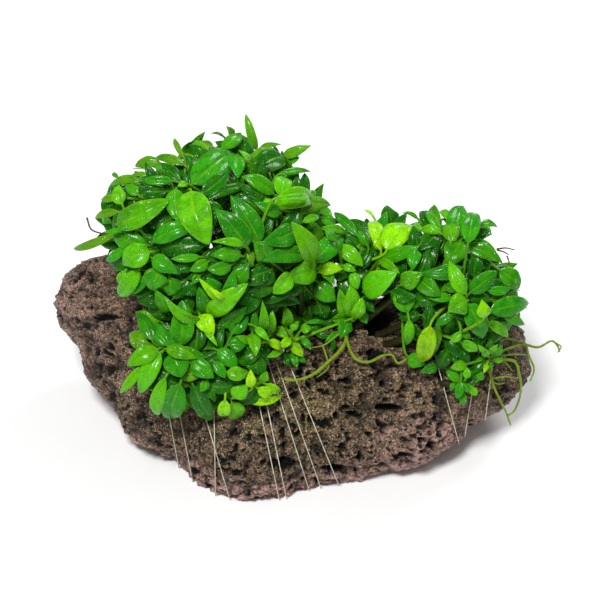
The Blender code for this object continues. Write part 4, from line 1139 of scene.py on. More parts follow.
def stone_reaches(directions):
    """The envelope of the swellings along many rays from the stone's heart at once."""
    total = np.zeros(len(directions))
    heart = as_array(STONE_HEART)
    for centre, sizes in SWELLINGS.values():
        start = (heart - np.array(centre)) / np.array(sizes)
        steps = directions / np.array(sizes)
        a = (steps**2).sum(axis=1)
        b = steps @ start
        root = b * b - a * (start @ start - 1)
        reach = np.where(root > 0, (-b + np.sqrt(np.maximum(root, 0))) / a, 0)
        total += np.maximum(reach, 0)**SWELLING_BLEND
    reaches = total**(1 / SWELLING_BLEND)
    down = directions[:, 2] < -1e-6
    reaches[down] = np.minimum(reaches[down], STONE_HEART.z / -directions[down, 2])
    return reaches


def stone_lattice():
    """Directions from the heart and triangles: a ball refined where the stone is seen from the front."""
    bm = bmesh.new()
    bmesh.ops.create_icosphere(bm, subdivisions=STONE_DETAIL, radius=1)
    heart = as_array(STONE_HEART)
    directions = unit_rows(np.array([vertex.co[:] for vertex in bm.verts]) * LATTICE_STRETCH)
    places = heart + directions * stone_reaches(directions)[:, None]
    for vertex, place in zip(bm.verts, places):
        vertex.co = place
    bm.normal_update()
    shown = set()
    for face in bm.faces:
        middle = face.calc_center_median()
        hidden = middle.y > 12 and -70 < middle.x < 62
        if face.normal.dot(NEAR) > 0.12 and middle.z > 0.5 and not hidden:
            shown.update(face.edges)
    bmesh.ops.subdivide_edges(bm, edges=list(shown), cuts=1, use_grid_fill=True)
    bmesh.ops.triangulate(bm, faces=bm.faces)
    directions = unit_rows(np.array([vertex.co[:] for vertex in bm.verts]) - heart)
    faces = np.array([[vertex.index for vertex in face.verts] for face in bm.faces])
    bm.free()
    return directions, faces


def pore_depth(place, size, share, depth):
    """How deep the round pore is that holds a place, where pores lie on a scattered lattice of that size."""
    warped = place / size + 0.22 * noise.noise_vector(place * 2.3 / size)
    distances, centres = noise.voronoi(warped)
    chance = 0.5 + 0.5 * noise.cell(centres[0] * 17.3)
    if chance > share:
        return 0.0
    radius = 0.24 + 0.3 * chance / share
    reach = distances[0] / radius
    return depth * (0.5 + 0.6 * chance / share) * math.sqrt(1 - reach * reach) if reach < 1 else 0.0


def ends_trim(place):
    """How much further the stone is drawn in at its left end and at the foot of its right end."""
    right = RIGHT_TRIM * min(1.0, max(0.0, (place.x - 42) / 20)) * max(0.0, 1 - place.z / 32)
    return right + LEFT_TRIM * min(1.0, max(0.0, (-38 - place.x) / 18))


def crevice(place, size, width):
    """How far a place is in the cleft between two knobs of the stone, from 0 to 1."""
    distances, _ = noise.voronoi(place / size + 0.35 * noise.noise_vector(place * 1.7 / size))
    return max(0.0, 1 - (distances[1] - distances[0]) / width)


def grid_places(points):
    """Where points are on the viewer's grid: across, down and near."""
    offset = points - as_array(AIM)
    near = offset @ as_array(NEAR)
    scale = EYE_DISTANCE / (EYE_DISTANCE - near) / GRID_STEP
    across = GRID_MIDDLE + offset @ as_array(RIGHT) * scale
    down = GRID_MIDDLE - offset @ as_array(UP) * scale
    return across, down, near


def carve_pits(points, normals_out):
    """How deep each point lies in one of the pits that are laid out on the grid."""
    across, down, _ = grid_places(points)
    depths = np.zeros(len(points))
    front = normals_out @ as_array(NEAR) > -0.1
    for place, halves, depth in list(HOLLOWS.values()) + list(PITS):
        reach = ((across - place[0]) / halves[0])**2 + ((down - place[1]) / halves[1])**2
        bowl = depth * np.sqrt(np.maximum(0, 1 - reach)) * front
        depths = np.maximum(depths, bowl)
    return depths


def bump_round(values, middle, width):
    return np.exp(-((values - middle) / width)**2)


def stone_shape():
    """Points, triangles and each point's marks: painted shade in hollows, a darker left end, green film, rosy."""
    directions, faces = stone_lattice()
    heart = as_array(STONE_HEART)
    places = heart + directions * stone_reaches(directions)[:, None]
    pits = np.zeros(len(places))
    depths = np.zeros(len(places))
    for i, place in enumerate(places):
        point = Vector(place)
        relief = RELIEF_MEAN + RELIEF_SWING * noise.noise(point / RELIEF_SPACING)
        relief = relief * min(1.0, max(0.0, point.z) / FOOT_HEIGHT) + ends_trim(point)
        patch = 0.5 + noise.noise(point / 13 + Vector((7, 3, 1)))
        pores = max(
            pore_depth(point + Vector(offset), size, share * patch, depth) for size, share, depth, offset in PORES)
        rugged = min(1.0, max(0.0, 0.55 + 1.3 * noise.noise(point / 11)))
        clefts = rugged * crevice(point, *WIDE_CLEFTS) + 0.55 * crevice(point, *NARROW_CLEFTS)
        crag = noise.fractal(point / CRAG_SPACING, 0.7, 2.0, 5) + 0.5 * noise.noise(point / 2.2) + 1.1 * clefts - 0.2
        layer = Vector((point.x / 14, point.y / 14, point.z / 4))
        crease = max(0.0, 1 - abs(noise.noise(layer)) / 0.07) * max(0.0, 1 - point.z / 22)
        depths[i] = relief + pores + max(HIGHEST_KNOB, crag) + 0.9 * crease
        # Painted shade: pores, creases and the deep parts of the crags are marked to be painted dark.
        hollow = 0.75 * min(1.0, max(0.0, (crag - 0.05) / 1.2))
        pits[i] = min(1.0, max(pores / 0.8, 0.8 * crease, hollow))
    # The carved hollows and pits are marked for painted shade as well.
    carved = carve_pits(places, directions)
    pits = np.maximum(pits, np.minimum(1, carved / 1.6))
    # The left end is marked a little darker too.
    head, _, _ = grid_places(places)
    pits = np.minimum(1, pits + 0.13 * bump_round(head, 90, 45))
    above = places[:, 2] > BASE_TOLERANCE
    level = np.column_stack([np.ones_like(depths), np.ones_like(depths), above])
    places = places - directions * depths[:, None] * level
    inward = unit_rows(directions + 0.8 * as_array(NEAR))
    places = places - inward * (carved * above)[:, None]
    places[:, 2] = np.maximum(places[:, 2], 0.0)
    across, down, _ = grid_places(places)
    front = np.clip(directions @ as_array(NEAR) * 2 + 0.4, 0, 1)
    film = 0.9 * bump_round(across, 290, 110) * bump_round(down, 405, 52)
    film = film + 0.6 * bump_round(across, 480, 60) * bump_round(down, 395, 40)
    film = front * film + 0.25 * (1 - front)
    # Rosy stretches at the base, the left end and low on the right: own colour, painted paler as painted light.
    rosy = np.clip(1.6 - places[:, 2] / 10, 0, 1) + 0.5 * bump_round(across, 55, 50)
    rosy = rosy + 0.8 * bump_round(across, 440, 60) * bump_round(down, 440, 30)
    return places, faces, np.column_stack([pits, film, np.clip(rosy, 0, 1)])


# The whole plant


class Cover:
    """Which cells of the viewer's grid already have a leaf in front of them."""

    def __init__(self):
        self.cells = np.zeros((2 * int(GRID_MIDDLE) // COVER_CELL, 2 * int(GRID_MIDDLE) // COVER_CELL), bool)
        self.outline = None

    def spots(self, blade):
        """Rows and columns of the cells that a blade covers, with the grid places of its samples."""
        base, tip = as_array(blade.base), as_array(blade.tip)
        seen = as_array(blade.facing.cross(unit(blade.tip - blade.base)))
        along = np.linspace(0.02, 0.98, 18)
        half = blade.width / 2 * leaf_profile(along, 1.0)
        across = np.linspace(-0.95, 0.95, 9)
        middle = base + np.outer(along, tip - base)
        sheet = middle[:, None, :] + (half[:, None] * across[None, :])[:, :, None] * seen
        across, down, near = grid_places(sheet.reshape(-1, 3))
        most = len(self.cells) - 1
        columns = np.clip(across / COVER_CELL, 0, most).astype(int)
        rows = np.clip(down / COVER_CELL, 0, most).astype(int)
        return rows, columns, (across, down, near)

    def add(self, blade):
        rows, columns, _ = self.spots(blade)
        self.cells[rows, columns] = True

    def set_outline(self):
        """Keeps the outline of the leaves so far, with its narrow bays closed, as the plant's own."""
        wide = spread_cells(self.cells, OUTLINE_CLOSING)
        self.outline = ~spread_cells(~wide, OUTLINE_CLOSING + 1)

    def covered(self, across, down):
        return self.cells[int(down / COVER_CELL), int(across / COVER_CELL)]

    def within(self, across, down):
        return self.outline[int(down / COVER_CELL), int(across / COVER_CELL)]

    def allows(self, blade):
        """Whether a blade stays within the plant's outline wherever the stone doesn't hide it."""
        rows, columns, places = self.spots(blade)
        outside = np.flatnonzero(~self.outline[rows, columns])
        if len(outside) > len(rows) // 2:
            outside = outside[::8]
        for index in outside[::4]:
            across, down, near = (float(values[index]) for values in places)
            stone = stone_near(across, down)
            if stone is None or near > stone:
                return False
        return True


def spread_cells(cells, radius):
    """The cells within a radius of those that are set."""
    spread = cells.copy()
    for down in range(-radius, radius + 1):
        for across in range(-radius, radius + 1):
            if down * down + across * across <= radius * radius:
                spread |= np.roll(cells, (down, across), axis=(0, 1))
    return spread


def bare(across, down):
    """Whether the stone or the dark hollow below the leaves shows at a place on the grid."""
    return any(
        ((across - place[0]) / halves[0])**2 + ((down - place[1]) / halves[1])**2 < 1 for place, halves in BARE_PLACES
    )


def nearest_start(point, crowns, feet):
    """The shoot and the place on its stem that are closest to a leaf's base."""
    best = None
    for name, crown in crowns.items():
        stem = crown - feet[name]
        share = (point - feet[name]).dot(stem) / stem.dot(stem)
        start = feet[name] + min(1.0, max(0.35, share - 0.15)) * stem
        gap = (point - start).length
        if best is None or gap < best[0]:
            best = gap, name, start
    return best[1], best[2]


def try_blades(garden, blades, name, cover, candidates):
    """Plants the first of some blades that is clear of all others."""
    for blade in candidates:
        if cover.allows(blade) and garden.clear(name, blade):
            garden.add(name, blade)
            blades[name].append(blade)
            cover.add(blade)
            return True
    return False


def fill_gaps(garden, crowns, feet, extra, cover):
    """Inner leaves in the dark tone, painted shade, wherever a gap in the front of the plant would show through."""
    seed = random.Random(11)
    cells = [(a, d) for d in range(120, 420, GAP_STEP) for a in range(80, 540, GAP_STEP)]
    seed.shuffle(cells)
    for across, down in cells:
        if cover.covered(across, down) or not cover.within(across, down) or bare(across, down):
            continue
        near = clump_near(across, down)
        middle = grid_point(across, down, near - 7)
        name, start = nearest_start(middle, crowns, feet)
        away = middle - start
        turn = seed.uniform(-0.6, 0.6)
        flat = Vector((away.dot(RIGHT), away.dot(UP)))
        flat = flat.normalized() if flat.length > 1 else Vector((0, -1))
        flat.rotate(Matrix.Rotation(turn, 2))
        length = seed.uniform(*GAP_LENGTHS)
        candidates = []
        for deep in GAP_DEPTHS:
            for size in GAP_SIZES:
                shift = 0.5 * size * length * (flat.x * RIGHT + flat.y * UP)
                centre = grid_point(across, down, near - deep)
                if above_stone(centre) < 2:
                    continue
                lean = 0.25 * length * NEAR
                base, tip = centre - shift - 0.4 * lean, centre + shift + 0.1 * lean
                facing = NEAR + 0.7 * clump_outward(centre) + 0.3 * Vector((0, 0, 1))
                candidates.append(
                    hidden_blade(start, base, tip, facing, size * seed.uniform(*GAP_WIDTHS), 0.1, "d"))
        try_blades(garden, extra, name, cover, candidates)


def hidden_blade(start, base, tip, facing, width, arch, tone):
    """A leaf without a place on the grid, turned as far to a direction as its own line lets it."""
    along = unit(tip - base)
    facing = facing - facing.dot(along) * along
    facing = unit(facing) if facing.length > 0.1 else unit(along.orthogonal())
    blade = Blade(start, base, tip, facing, width, arch)
    blade.shown = False
    blade.tone = tone
    return blade


def fill_round(garden, crowns, feet, extra, cover):
    """Leaves all over the sides and the back of the plant, where the grid's leaves don't reach."""
    seed = random.Random(23)
    for centre, sizes in CLUMPS.values():
        centre = Vector(centre)
        area = (sizes[0] * sizes[1] + sizes[1] * sizes[2] + sizes[0] * sizes[2]) * 4 / 3
        count = int(ROUND_DENSITY * area)
        for index in range(count):
            height = 1 - 2 * (index + 0.5) / count
            ring = math.sqrt(1 - height * height)
            turn = index * GOLDEN_ANGLE
            out = Vector((ring * math.cos(turn), ring * math.sin(turn), height))
            for share in ROUND_LAYERS:
                place = centre + share * Vector((sizes[0] * out.x, sizes[1] * out.y, sizes[2] * out.z))
                outward = clump_outward(place)
                if outward.dot(NEAR) > (0.35 if share > 0.7 else 0.8) or above_stone(place) < 4:
                    continue
                if share > 0.7 and any(
                    in_sizes(place - Vector(other), size).length < 0.8 for other, size in CLUMPS.values()
                ):
                    continue
                name, start = nearest_start(place, crowns, feet)
                heading = unit(unit(place - start) + 0.5 * outward + 0.5 * Vector(
                    (seed.uniform(-1, 1), seed.uniform(-1, 1), seed.uniform(-0.9, 0.4))))
                length = seed.uniform(*ROUND_LENGTHS)
                candidates = []
                for step in ROUND_STEPS:
                    spot = place + step * outward
                    base, tip = spot - 0.45 * length * heading, spot + 0.55 * length * heading
                    if above_stone(tip) < 1.5 or above_stone(base) < 1.5:
                        continue
                    # The inner layer takes mostly the dark tone, as painted shade deeper in the plant.
                    tone = seed.choice("dggbs" if share > 0.7 else "ddg")
                    facing = outward + Vector((0, 0, 0.6))
                    candidates.append(
                        hidden_blade(start, base, tip, facing, seed.uniform(*ROUND_WIDTHS), 0.13, tone))
                try_blades(garden, extra, name, cover, candidates)


@functools.cache
def plant_layout():
    """Every shoot's crown, foot, blades with solids, and further blades."""
    threads = []
    for top, bottom, lift in THREADS.values():
        loop, normal = solid_loop(top, bottom, lift)
        threads.append(tree_of(thread_solid(loop, normal, THREAD_RADIUS + LEAF_GAP)))
    garden = Garden(stone_solid(), threads)
    crowns, feet, blades = grow_plant(garden)
    cover = Cover()
    for name in blades:
        for blade in blades[name]:
            cover.add(blade)
    extra = {name: [] for name in crowns}
    placed = {blade.leaf for group in blades.values() for blade in group if blade.leaf}
    queue = [leaf for leaf in FRONT_LEAVES + SMALL_LEAVES if leaf not in placed]
    for name, blade in plant_leaves(garden, queue, crowns, feet, blades):
        extra[name].append(blade)
        cover.add(blade)
    cover.set_outline()
    fill_gaps(garden, crowns, feet, extra, cover)
    fill_round(garden, crowns, feet, extra, cover)
    return crowns, feet, blades, extra


# Materials


def new_material(name):
    made = bpy.data.materials.new(name)
    made.use_nodes = True
    return made, made.node_tree, made.node_tree.nodes["Principled BSDF"]


def wire(tree, value, socket):
    """Links a node's output to a socket, or sets the socket to a constant."""
    if isinstance(value, bpy.types.NodeSocket):
        tree.links.new(value, socket)
    else:
        socket.default_value = value


def attribute(tree, name):
    made = tree.nodes.new("ShaderNodeAttribute")
    made.attribute_name = name
    return made


def maths(tree, operation, *values):
    made = tree.nodes.new("ShaderNodeMath")
    made.operation = operation
    for value, socket in zip(values, made.inputs):
        wire(tree, value, socket)
    return made.outputs[0]


def blend_colours(tree, factor, first, second):
    made = tree.nodes.new("ShaderNodeMix")
    made.data_type = "RGBA"
    for value, index in ((factor, 0), (first, 6), (second, 7)):
        if isinstance(value, tuple):
            value = (*value[:3], 1.0)
        wire(tree, value, made.inputs[index])
    return made.outputs[2]


def span(tree, value, low, high, first=0.0, last=1.0):
    """A value mapped from one span to another, and held at its ends."""
    made = tree.nodes.new("ShaderNodeMapRange")
    for item, socket in zip((value, low, high, first, last), made.inputs):
        wire(tree, item, socket)
    return made.outputs[0]


def grains(tree, size, detail=3.0, roughness=0.6):
    """Noise whose features have a size in millimetres."""
    place = tree.nodes.new("ShaderNodeTexCoord")
    made = tree.nodes.new("ShaderNodeTexNoise")
    wire(tree, place.outputs["Object"], made.inputs["Vector"])
    made.inputs["Scale"].default_value = 1 / (size * MM)
    made.inputs["Detail"].default_value = detail
    made.inputs["Roughness"].default_value = roughness
    return made.outputs["Fac"]


def dots(tree, size):
    """Distance to the nearest of scattered dots, as a share of their spacing in millimetres, and a chance for each."""
    place = tree.nodes.new("ShaderNodeTexCoord")
    made = tree.nodes.new("ShaderNodeTexVoronoi")
    wire(tree, place.outputs["Object"], made.inputs["Vector"])
    made.inputs["Scale"].default_value = 1 / (size * MM)
    return made.outputs["Distance"], made.outputs["Color"]


def bump(tree, height, strength, distance, normal=None):
    made = tree.nodes.new("ShaderNodeBump")
    made.inputs["Strength"].default_value = strength
    made.inputs["Distance"].default_value = distance * MM
    wire(tree, height, made.inputs["Height"])
    if normal:
        wire(tree, normal, made.inputs["Normal"])
    return made.outputs["Normal"]


def leaf_material():
    """A waxy wet blade: paler rib and rim, fine side veins, and beads of water with painted dark rims and, in patches
    of painted sheen, painted highlights.
    """
    made, tree, surface = new_material("waxy_leaf")
    look = bpy.context.scene.anubias_looks
    place = tree.nodes.new("ShaderNodeSeparateXYZ")
    wire(tree, attribute(tree, "place").outputs["Vector"], place.inputs[0])
    along, across, key = place.outputs
    spread = maths(tree, "ABSOLUTE", across)
    tint = attribute(tree, "tint").outputs["Color"]
    mottle = grains(tree, 5.0, 2.0)
    colour = blend_colours(tree, span(tree, mottle, 0.45, 0.75, 0.0, 0.2), tint, tuple(look.young_leaf))
    deep = span(tree, maths(tree, "ADD", mottle, maths(tree, "MULTIPLY", key, 0.25)), 0.62, 0.4, 0.0, 0.4)
    colour = blend_colours(tree, deep, colour, tuple(look.deep_leaf))
    veins = maths(tree, "SINE", maths(tree, "MULTIPLY", maths(
        tree, "SUBTRACT", along, maths(tree, "MULTIPLY", maths(tree, "POWER", spread, 1.4), 0.16)), 62.0))
    colour = blend_colours(tree, span(tree, veins, 0.2, 1.0, 0.0, 0.04), colour, tuple(look.rib))
    rib = maths(tree, "POWER", 2.718, maths(
        tree, "MULTIPLY", maths(tree, "MULTIPLY", spread, spread), -160.0))
    fading = span(tree, along, 0.0, 0.7, 0.4, 0.06)
    colour = blend_colours(tree, maths(tree, "MULTIPLY", rib, fading), colour, tuple(look.rib))
    colour = blend_colours(tree, span(tree, spread, 0.93, 1.0, 0.0, 0.45), colour, tuple(look.rib))
    bead_distance, bead_colour = dots(tree, look.bead_size)
    chance = tree.nodes.new("ShaderNodeSeparateColor")
    wire(tree, bead_colour, chance.inputs[0])
    size = span(tree, chance.outputs[0], 0.2, 0.9, 0.0, 0.5)
    bead = span(tree, maths(tree, "SUBTRACT", size, bead_distance), 0.0, 0.2)
    # Painted shade: a dark rim is painted round each water bead.
    ring = maths(tree, "MULTIPLY", bead, maths(tree, "SUBTRACT", 1.0, bead))
    colour = blend_colours(tree, maths(tree, "MULTIPLY", ring, 1.2), colour, tuple(look.deep_leaf))
    # Painted highlight: pale specks in the middle of the beads, within patches of painted sheen, stand in for glints.
    painted_sheen = span(tree, grains(tree, 5.5, 2.0), 0.48, 0.62, 0.12, 0.6)
    bright = maths(tree, "MULTIPLY", span(tree, bead, 0.6, 1.0), painted_sheen)
    wire(tree, blend_colours(tree, bright, colour, (0.58, 0.92, 0.6)), surface.inputs["Base Color"])
    wet = span(tree, grains(tree, 3.2, 2.0), 0.4, 0.65, 0.3, 0.14)
    wire(tree, maths(tree, "SUBTRACT", wet, maths(tree, "MULTIPLY", bead, 0.12)), surface.inputs["Roughness"])
    surface.inputs["Specular IOR Level"].default_value = 0.12
    surface.inputs["Coat Weight"].default_value = 0.1
    surface.inputs["Coat Roughness"].default_value = 0.05
    surface.inputs["Subsurface Weight"].default_value = 0.12
    surface.inputs["Subsurface Radius"].default_value = (0.4, 1.0, 0.15)
    surface.inputs["Subsurface Scale"].default_value = 0.001
    relief = bump(tree, grains(tree, 2.4, 2.0), 0.3, 0.25)
    relief = bump(tree, grains(tree, 0.7, 2.0), 0.4, 0.1, relief)
    wire(tree, bump(tree, bead, 1.0, 0.3, relief), surface.inputs["Normal"])
    return made


def stalk_material():
    """Smooth green stalks with fine lengthwise streaks."""
    made, tree, surface = new_material("green_stalk")
    tint = attribute(tree, "tint").outputs["Color"]
    streak = span(tree, grains(tree, 1.2, 3.0), 0.35, 0.7, 0.0, 0.45)
    wire(tree, blend_colours(tree, streak, tint, srgb(44, 50, 12)), surface.inputs["Base Color"])
    wire(tree, span(tree, grains(tree, 2.0), 0.3, 0.7, 0.5, 0.3), surface.inputs["Roughness"])
    surface.inputs["Specular IOR Level"].default_value = 0.15
    wire(tree, bump(tree, grains(tree, 0.7), 0.4, 0.15), surface.inputs["Normal"])
    return made


def stone_material():
    """Damp porous lava: grainy brown, darker in the low spots of its grain partly as painted shade, with dark grit of
    painted shadow, green film, rosy stretches of its own colour painted paler as painted light, painted glints, and
    pores and hollows painted black as painted shade.
    """
    made, tree, surface = new_material("damp_lava")
    look = bpy.context.scene.anubias_looks
    marks = tree.nodes.new("ShaderNodeSeparateXYZ")
    wire(tree, attribute(tree, "marks").outputs["Vector"], marks.inputs[0])
    hollow_shade, film, rosy = marks.outputs
    fine = grains(tree, 0.9, 5.0, 0.75)
    lumps = grains(tree, 3.2, 3.0)
    patch = grains(tree, 7.0, 3.0)
    # Darker where the bumps sink: partly the stone's own tone, partly painted shade in the hollows.
    shade = maths(tree, "ADD", maths(tree, "MULTIPLY", fine, 0.75), maths(tree, "MULTIPLY", lumps, 0.25))
    warm = blend_colours(tree, span(tree, shade, 0.4, 0.58), tuple(look.stone_dark), tuple(look.stone))
    green = blend_colours(tree, span(tree, shade, 0.4, 0.58), srgb(28, 24, 6), tuple(look.stone_film))
    # The rosy grains are painted pale as painted light, which lifts the shaded base.
    pink = blend_colours(tree, span(tree, shade, 0.38, 0.56), srgb(74, 44, 38), tuple(look.stone_rosy))
    film_share = maths(tree, "MULTIPLY", film, span(tree, patch, 0.32, 0.6))
    rosy_share = maths(tree, "MULTIPLY", rosy, span(tree, patch, 0.75, 0.45))
    colour = blend_colours(tree, film_share, warm, green)
    colour = blend_colours(tree, rosy_share, colour, pink)
    shadow = span(tree, grains(tree, 1.3, 3.0, 0.7), 0.38, 0.54, 0.9, 0.0)
    # Less painted shadow where the stone is rosy, which keeps its shaded base pale.
    shadow = maths(tree, "MULTIPLY", shadow, span(tree, rosy, 0.0, 1.0, 1.0, 0.5))
    colour = blend_colours(tree, shadow, colour, srgb(24, 17, 11))
    # Painted highlight: pale specks stand in for the glints of the wet stone.
    sparkle = span(tree, grains(tree, 0.6, 2.0), 0.575, 0.67, 0.0, 0.8)
    colour = blend_colours(tree, sparkle, colour, tuple(look.stone_grain))
    small_distance, small_colour = dots(tree, 1.9)
    chance = tree.nodes.new("ShaderNodeSeparateColor")
    wire(tree, small_colour, chance.inputs[0])
    hole_size = span(tree, chance.outputs[0], 0.5, 1.0, 0.0, 0.46)
    hole = span(tree, maths(tree, "SUBTRACT", hole_size, small_distance), 0.0, 0.16)
    # Painted shade: the small pores are painted dark.
    colour = blend_colours(tree, maths(tree, "MULTIPLY", hole, 0.85), colour, srgb(20, 14, 8))
    # Painted shade: pores, creases and hollows are painted almost black.
    colour = blend_colours(tree, span(tree, hollow_shade, 0.0, 1.0), colour, srgb(8, 6, 3))
    wire(tree, colour, surface.inputs["Base Color"])
    wire(tree, span(tree, fine, 0.4, 0.62, 0.6, 0.2), surface.inputs["Roughness"])
    surface.inputs["Specular IOR Level"].default_value = 0.25
    relief = bump(tree, lumps, 0.8, 1.6)
    relief = bump(tree, fine, 1.0, 1.0, relief)
    wire(tree, bump(tree, maths(tree, "SUBTRACT", 1.0, hole), 1.0, 0.6, relief), surface.inputs["Normal"])
    return made


def thread_material():
    """Clear white nylon line with a faint twist."""
    made, tree, surface = new_material("nylon_line")
    shade = span(tree, grains(tree, 1.5, 2.0), 0.3, 0.7)
    wire(tree, blend_colours(tree, shade, srgb(168, 162, 128), srgb(228, 224, 204)), surface.inputs["Base Color"])
    surface.inputs["Roughness"].default_value = 0.3
    wire(tree, bump(tree, grains(tree, 0.5), 0.3, 0.1), surface.inputs["Normal"])
    return made


def floor_material():
    """A plain pale studio floor."""
    made, tree, surface = new_material("pale_floor")
    wire(tree, blend_colours(tree, span(tree, grains(tree, 90.0), 0.4, 0.6), (0.9, 0.9, 0.9), (0.92, 0.92, 0.92)),
         surface.inputs["Base Color"])
    surface.inputs["Roughness"].default_value = 0.9
    surface.inputs["Specular IOR Level"].default_value = 0.1
    return made


# Sizes and colours that a user can change


def colour_property(name, description, *value):
    return FloatVectorProperty(
        name=name, description=description, subtype="COLOR", size=3, min=0.0, max=1.0, default=srgb(*value))


class AnubiasSizes(bpy.types.PropertyGroup):
    line_radius: FloatProperty(
        name="Line radius", description="Radius of the tying line", default=0.0002,
        min=0.0001, max=0.001, unit="LENGTH", precision=5)
    line_sides: IntProperty(name="Line sides", description="Sides of the round line", default=6, min=4, max=24)
    camera_lens: FloatProperty(
        name="Camera lens", description="Focal length of the camera", default=112.5, min=20, max=300)
    fill_light: FloatProperty(
        name="Fill light", description="Brightness of the even light from all round", default=0.25, min=0, max=5)
    key_light: FloatProperty(
        name="Key light", description="Power of the large light above the front", default=10.5, min=0, max=100,
        unit="POWER")


class AnubiasLooks(bpy.types.PropertyGroup):
    leaf_olive: colour_property("Olive leaf", "Old leaves at the top of the plant", 84, 148, 12)
    # Painted shade: the dark tone darkens leaves that lie in the shade of others and deep inside the plant
    leaf_dark: colour_property("Dark leaf", "Leaves in the shade of others", 8, 92, 0)
    leaf_green: colour_property("Green leaf", "Most of the grown leaves", 50, 142, 0)
    leaf_sheen: colour_property("Sheen leaf", "Grown leaves that mirror the sky", 34, 134, 8)
    leaf_bright: colour_property("Bright leaf", "Fresh leaves", 84, 170, 0)
    leaf_yellow: colour_property("Yellow leaf", "The youngest leaves", 140, 206, 0)
    young_leaf: colour_property("Young mottle", "Pale mottling of a blade", 98, 176, 0)
    # Dark mottling of a blade; the same colour paints the shade round the water beads
    deep_leaf: colour_property("Deep mottle", "Dark mottling of a blade", 2, 78, 0)
    rib: colour_property("Rib", "The rib, side veins and rim of a blade", 146, 196, 16)
    bead_size: FloatProperty(
        name="Bead spacing", description="Spacing of the water beads, in millimetres", default=0.75, min=0.2, max=5)
    stone: colour_property("Stone", "Grains of the bare stone", 164, 130, 102)
    # Partly the stone's own dark tone, partly painted shade in the low spots of its grain
    stone_dark: colour_property("Stone hollows", "Between the grains of the bare stone", 34, 24, 15)
    stone_film: colour_property("Green film", "Grains of the stone under its green film", 158, 142, 80)
    # The stone's own rosy colour, painted paler as painted light where the base lies in shade
    stone_rosy: colour_property("Rosy stone", "Grains of the rosy stretches", 242, 192, 182)
    # Painted highlight: the pale specks that stand in for glints of the wet stone
    stone_grain: colour_property("Painted glint", "The palest grains of the stone", 238, 222, 194)


TONES = {
    "o": "leaf_olive", "d": "leaf_dark", "g": "leaf_green", "s": "leaf_sheen", "b": "leaf_bright", "y": "leaf_yellow",
}
ROOT_COLOURS = {
    "root": srgb(126, 154, 36), "stalk": srgb(128, 170, 20), "old": srgb(84, 74, 30), "cut": srgb(150, 150, 92),
}


def finish_piece(piece, node, slot=None):
    """The piece hangs under the root body, and the node of the model that it stands for, where it has one, is hidden.
    """
    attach(piece, "root")
    if node:
        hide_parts(node)
    slot or node


class ANUBIAS_OT_stone(bpy.types.Operator):
    """Builds the porous stone with its pits, film and rosy base"""

    bl_idname = "anubias.stone"
    bl_label = "Stone"

    def execute(self, context):
        points, faces, marks = stone_shape()
        stone = mesh_from_arrays("porous_stone", points, faces, [stone_material()])
        add_attribute(stone.data, "marks", "FLOAT_VECTOR", "vector", marks)
        finish_piece(stone, "lava_stone")
        return {"FINISHED"}


class ANUBIAS_OT_shoots(bpy.types.Operator):
    """Grows every shoot: its rhizome, stalks and blades"""

    bl_idname = "anubias.shoots"
    bl_label = "Shoots"

    def execute(self, context):
        look = context.scene.anubias_looks
        crowns, feet, blades, extra = plant_layout()
        materials = [leaf_material(), stalk_material()]
        for name in crowns:
            batch = Batch()
            add_stem(batch, feet[name], crowns[name], name)
            turns = random.Random(name + "tint")
            for index, blade in enumerate(blades[name] + extra[name]):
                tint = np.array(getattr(look, TONES[blade.tone])) * turns.uniform(0.82, 1.18)
                tint = tint * (turns.uniform(0.85, 1.15), 1, 1)
                add_leaf(batch, blade, np.clip(tint, 0, 1), f"{name}{index}", blade.shown)
            piece = batch.build(name + "_leaves", materials)
            finish_piece(piece, name)
        return {"FINISHED"}


class ANUBIAS_OT_roots(bpy.types.Operator):
    """Lays the runners and roots over the stone"""

    bl_idname = "anubias.roots"
    bl_label = "Roots"

    def execute(self, context):
        crowns, feet, _, _ = plant_layout()
        material = stalk_material()
        for name, (owner, radius, places) in ROOTS.items():
            start = feet[owner].lerp(crowns[owner], ROOT_START)
            centres = [start]
            for across, down in places[1:]:
                stone = stone_near(across, down)
                near = centres[-1].dot(NEAR) - AIM.dot(NEAR) if stone is None else stone + ROOT_LIFT
                centres.append(grid_point(across, down, near))
            self.lay(name, owner, centres, radius, ROOT_COLOURS["root"], material)
        for name, (owner, radius, colour, places) in FINE_ROOTS.items():
            centres = []
            for across, down, lift in places:
                stone = stone_near(across, down)
                near = clump_near(across, down) - 8 if stone is None else stone + lift
                centres.append(grid_point(across, down, near))
            self.lay(name, owner, centres, radius, ROOT_COLOURS[colour], material)
        return {"FINISHED"}

    def lay(self, name, owner, centres, radius, colour, material):
        path = smooth_path(centres, 8)
        turns = random.Random(name)
        share = np.linspace(0, 1, len(path))
        radii = radius * (1 - 0.45 * share) * np.array([turns.uniform(0.88, 1.12) for _ in share])
        radii[-1] = 0.05
        points, faces = tube(path, radii, ROOT_TUBE_SIDES)
        batch = Batch()
        rings = np.repeat(share, ROOT_TUBE_SIDES)
        places = np.column_stack([rings, np.zeros(len(points)), np.zeros(len(points))])
        batch.add(points, faces, 0, places, colour)
        finish_piece(batch.build(name, [material]), None, owner)


